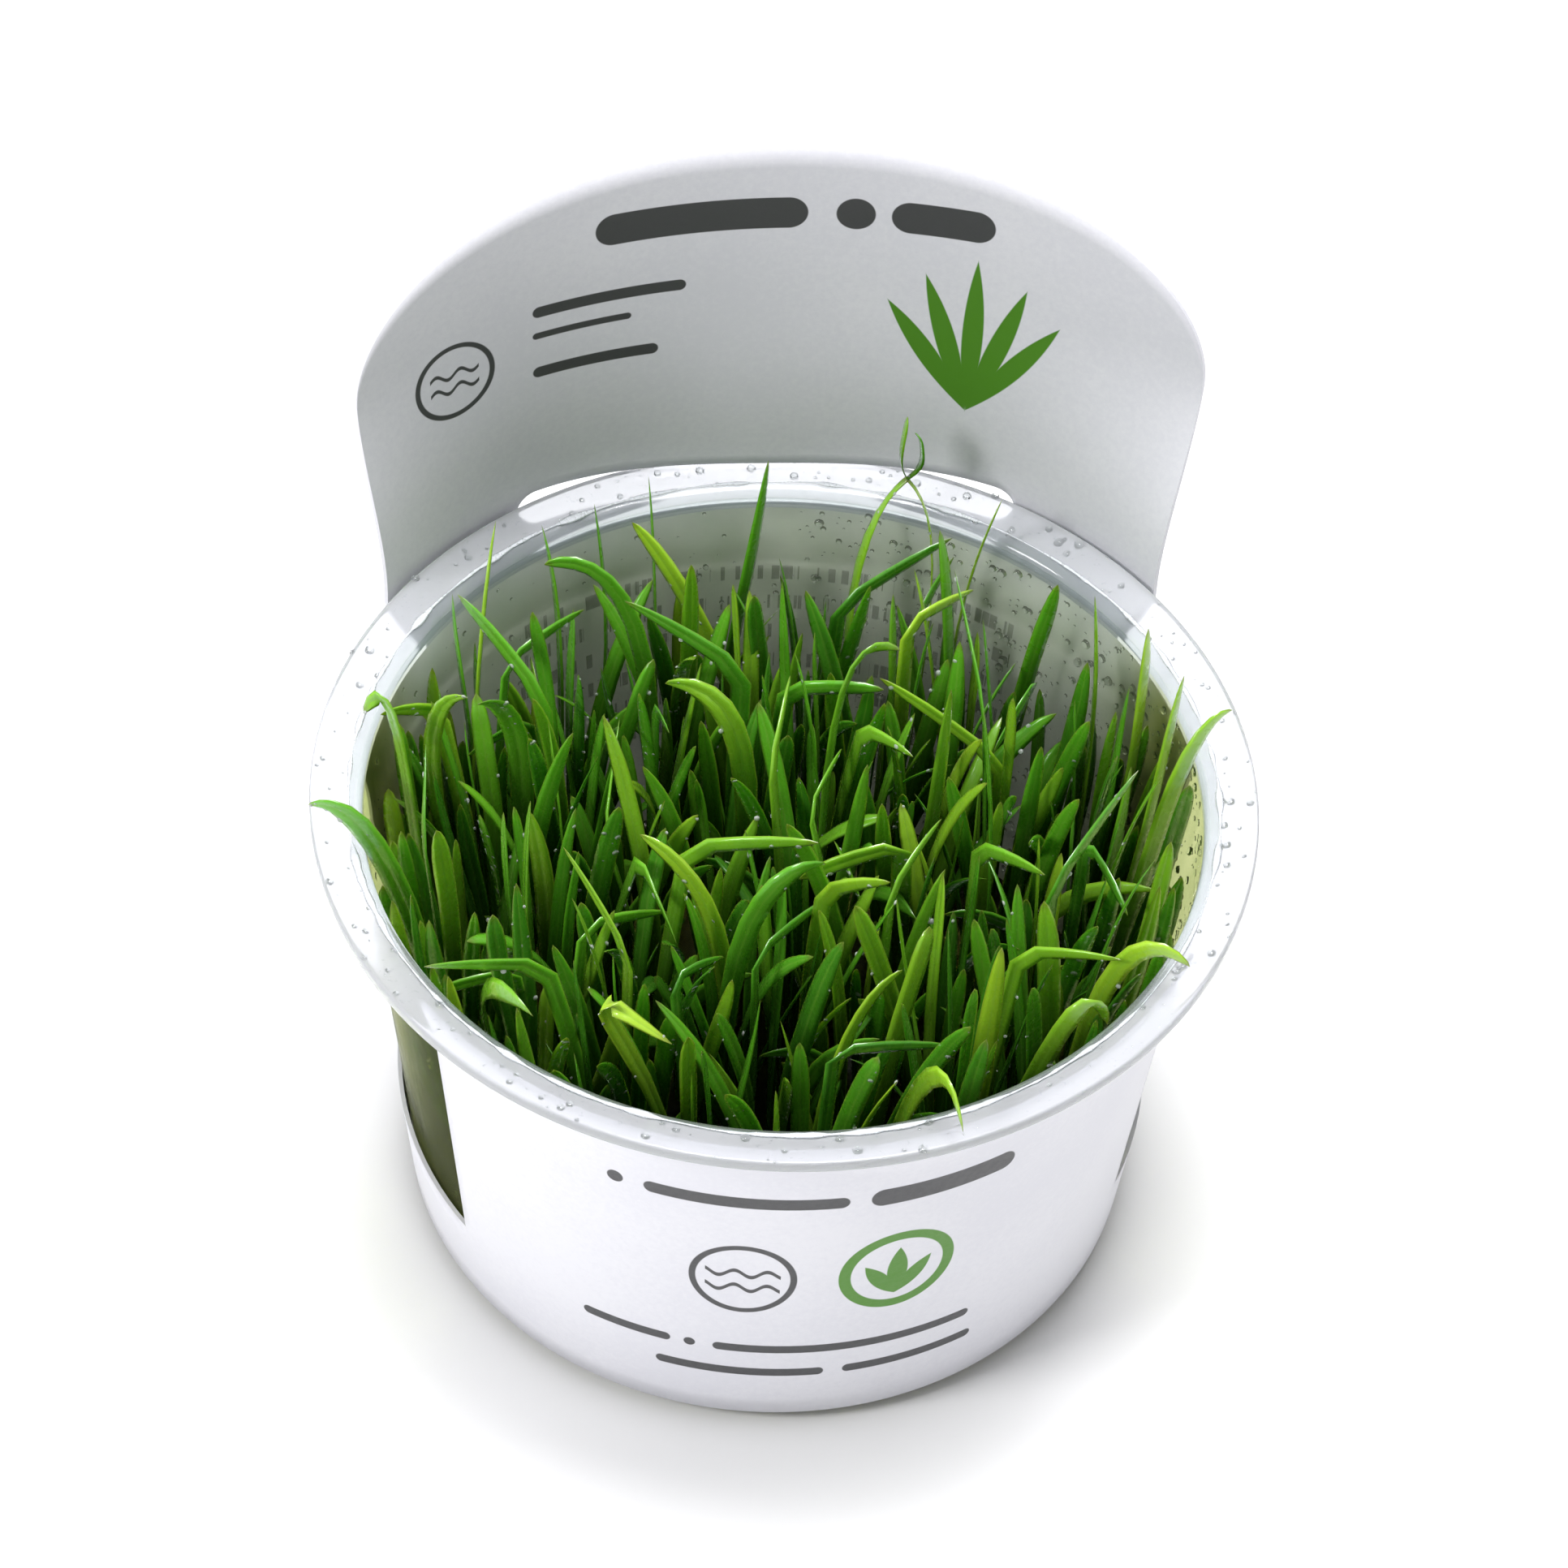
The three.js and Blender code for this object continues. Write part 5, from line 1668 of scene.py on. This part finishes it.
# %% Film ring
FILM_RADIUS, FILM_HEIGHT, FILM_POINTS = 45.9, 57.72, 360
film_line = bpy.data.meshes.new("film_line")
film_turns = [2 * math.pi * k / FILM_POINTS for k in range(FILM_POINTS)]
film_line.from_pydata(
    [(FILM_RADIUS * MM * math.cos(a), FILM_RADIUS * MM * math.sin(a), FILM_HEIGHT * MM)
     for a in film_turns], [(k, (k + 1) % FILM_POINTS) for k in range(FILM_POINTS)], [])

film_tree, group_in, group_out = new_tree("film_shred", [
    ("Finish", "NodeSocketMaterial", None), ("Smallest", "NodeSocketFloat", 0.00006),
    ("Largest", "NodeSocketFloat", 0.00055), ("Sway", "NodeSocketFloat", 0.0005)])


def film_noise(scale, detail, seed):
    """Noise at each point of the ring, with a seed."""
    return add(film_tree, "ShaderNodeTexNoise", {"Scale": scale, "Detail": detail, "W": seed},
               noise_dimensions="4D")


sway = add(film_tree, "ShaderNodeVectorMath",
           {0: film_noise(160, 3, 2.0).outputs["Color"], 1: (0.5, 0.5, 0.5)}, operation="SUBTRACT")
sway = add(film_tree, "ShaderNodeVectorMath",
           {0: sway.outputs[0], "Scale": group_in.outputs["Sway"]}, operation="SCALE")
moved = add(film_tree, "GeometryNodeSetPosition",
            {"Geometry": group_in.outputs["Geometry"], "Offset": sway.outputs[0]}).outputs[0]
curve = add(film_tree, "GeometryNodeMeshToCurve", {0: moved}).outputs[0]
curve = add(film_tree, "GeometryNodeSetCurveNormal", {"Curve": curve}, mode="Z_UP").outputs[0]
section = add(film_tree, "GeometryNodeCurvePrimitiveCircle", {"Resolution": 6, "Radius": 1.0})
flat_section = add(film_tree, "GeometryNodeTransform",
                   {"Geometry": section.outputs[0], "Scale": (1.0, 0.28, 1.0)}).outputs[0]
share = ramp(film_tree, film_noise(210, 4, 7.0).outputs["Fac"], 0.38, 0.72)
reach = calc(film_tree, "SUBTRACT", group_in.outputs["Largest"], group_in.outputs["Smallest"])
width = calc(film_tree, "ADD", group_in.outputs["Smallest"],
             calc(film_tree, "MULTIPLY", reach, share))
swept = add(film_tree, "GeometryNodeCurveToMesh",
            {"Curve": curve, "Profile Curve": flat_section, "Scale": width}).outputs[0]
finish_tree(film_tree, swept, group_in, group_out)

film_white, tree, shader = new_material(
    "film_white", Base_Color=(0.86, 0.89, 0.93, 1), Roughness=0.3, IOR=1.45,
    Transmission_Weight=0.35)
crease = noise(tree, object_coordinates(tree), 1400, 3)
give_relief(tree, shader, crease, 0.3, 0.0002)
tree.links.new(ramp(tree, crease, 0.3, 0.7, 0.2, 0.45), shader.inputs["Roughness"])
film_base = new_piece("film_line", film_line)
modifier = film_base.modifiers.new("film", "NODES")
modifier.node_group = film_tree
set_inputs(modifier, {"Finish": film_white})
film = made_plain(film_base, "torn_film")
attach(film, "root")
print("film:", len(film.data.polygons), "faces")

# %% Finish
low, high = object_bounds()
print("dressed box in mm:", [round(v / MM, 1) for v in (*low, *high)])
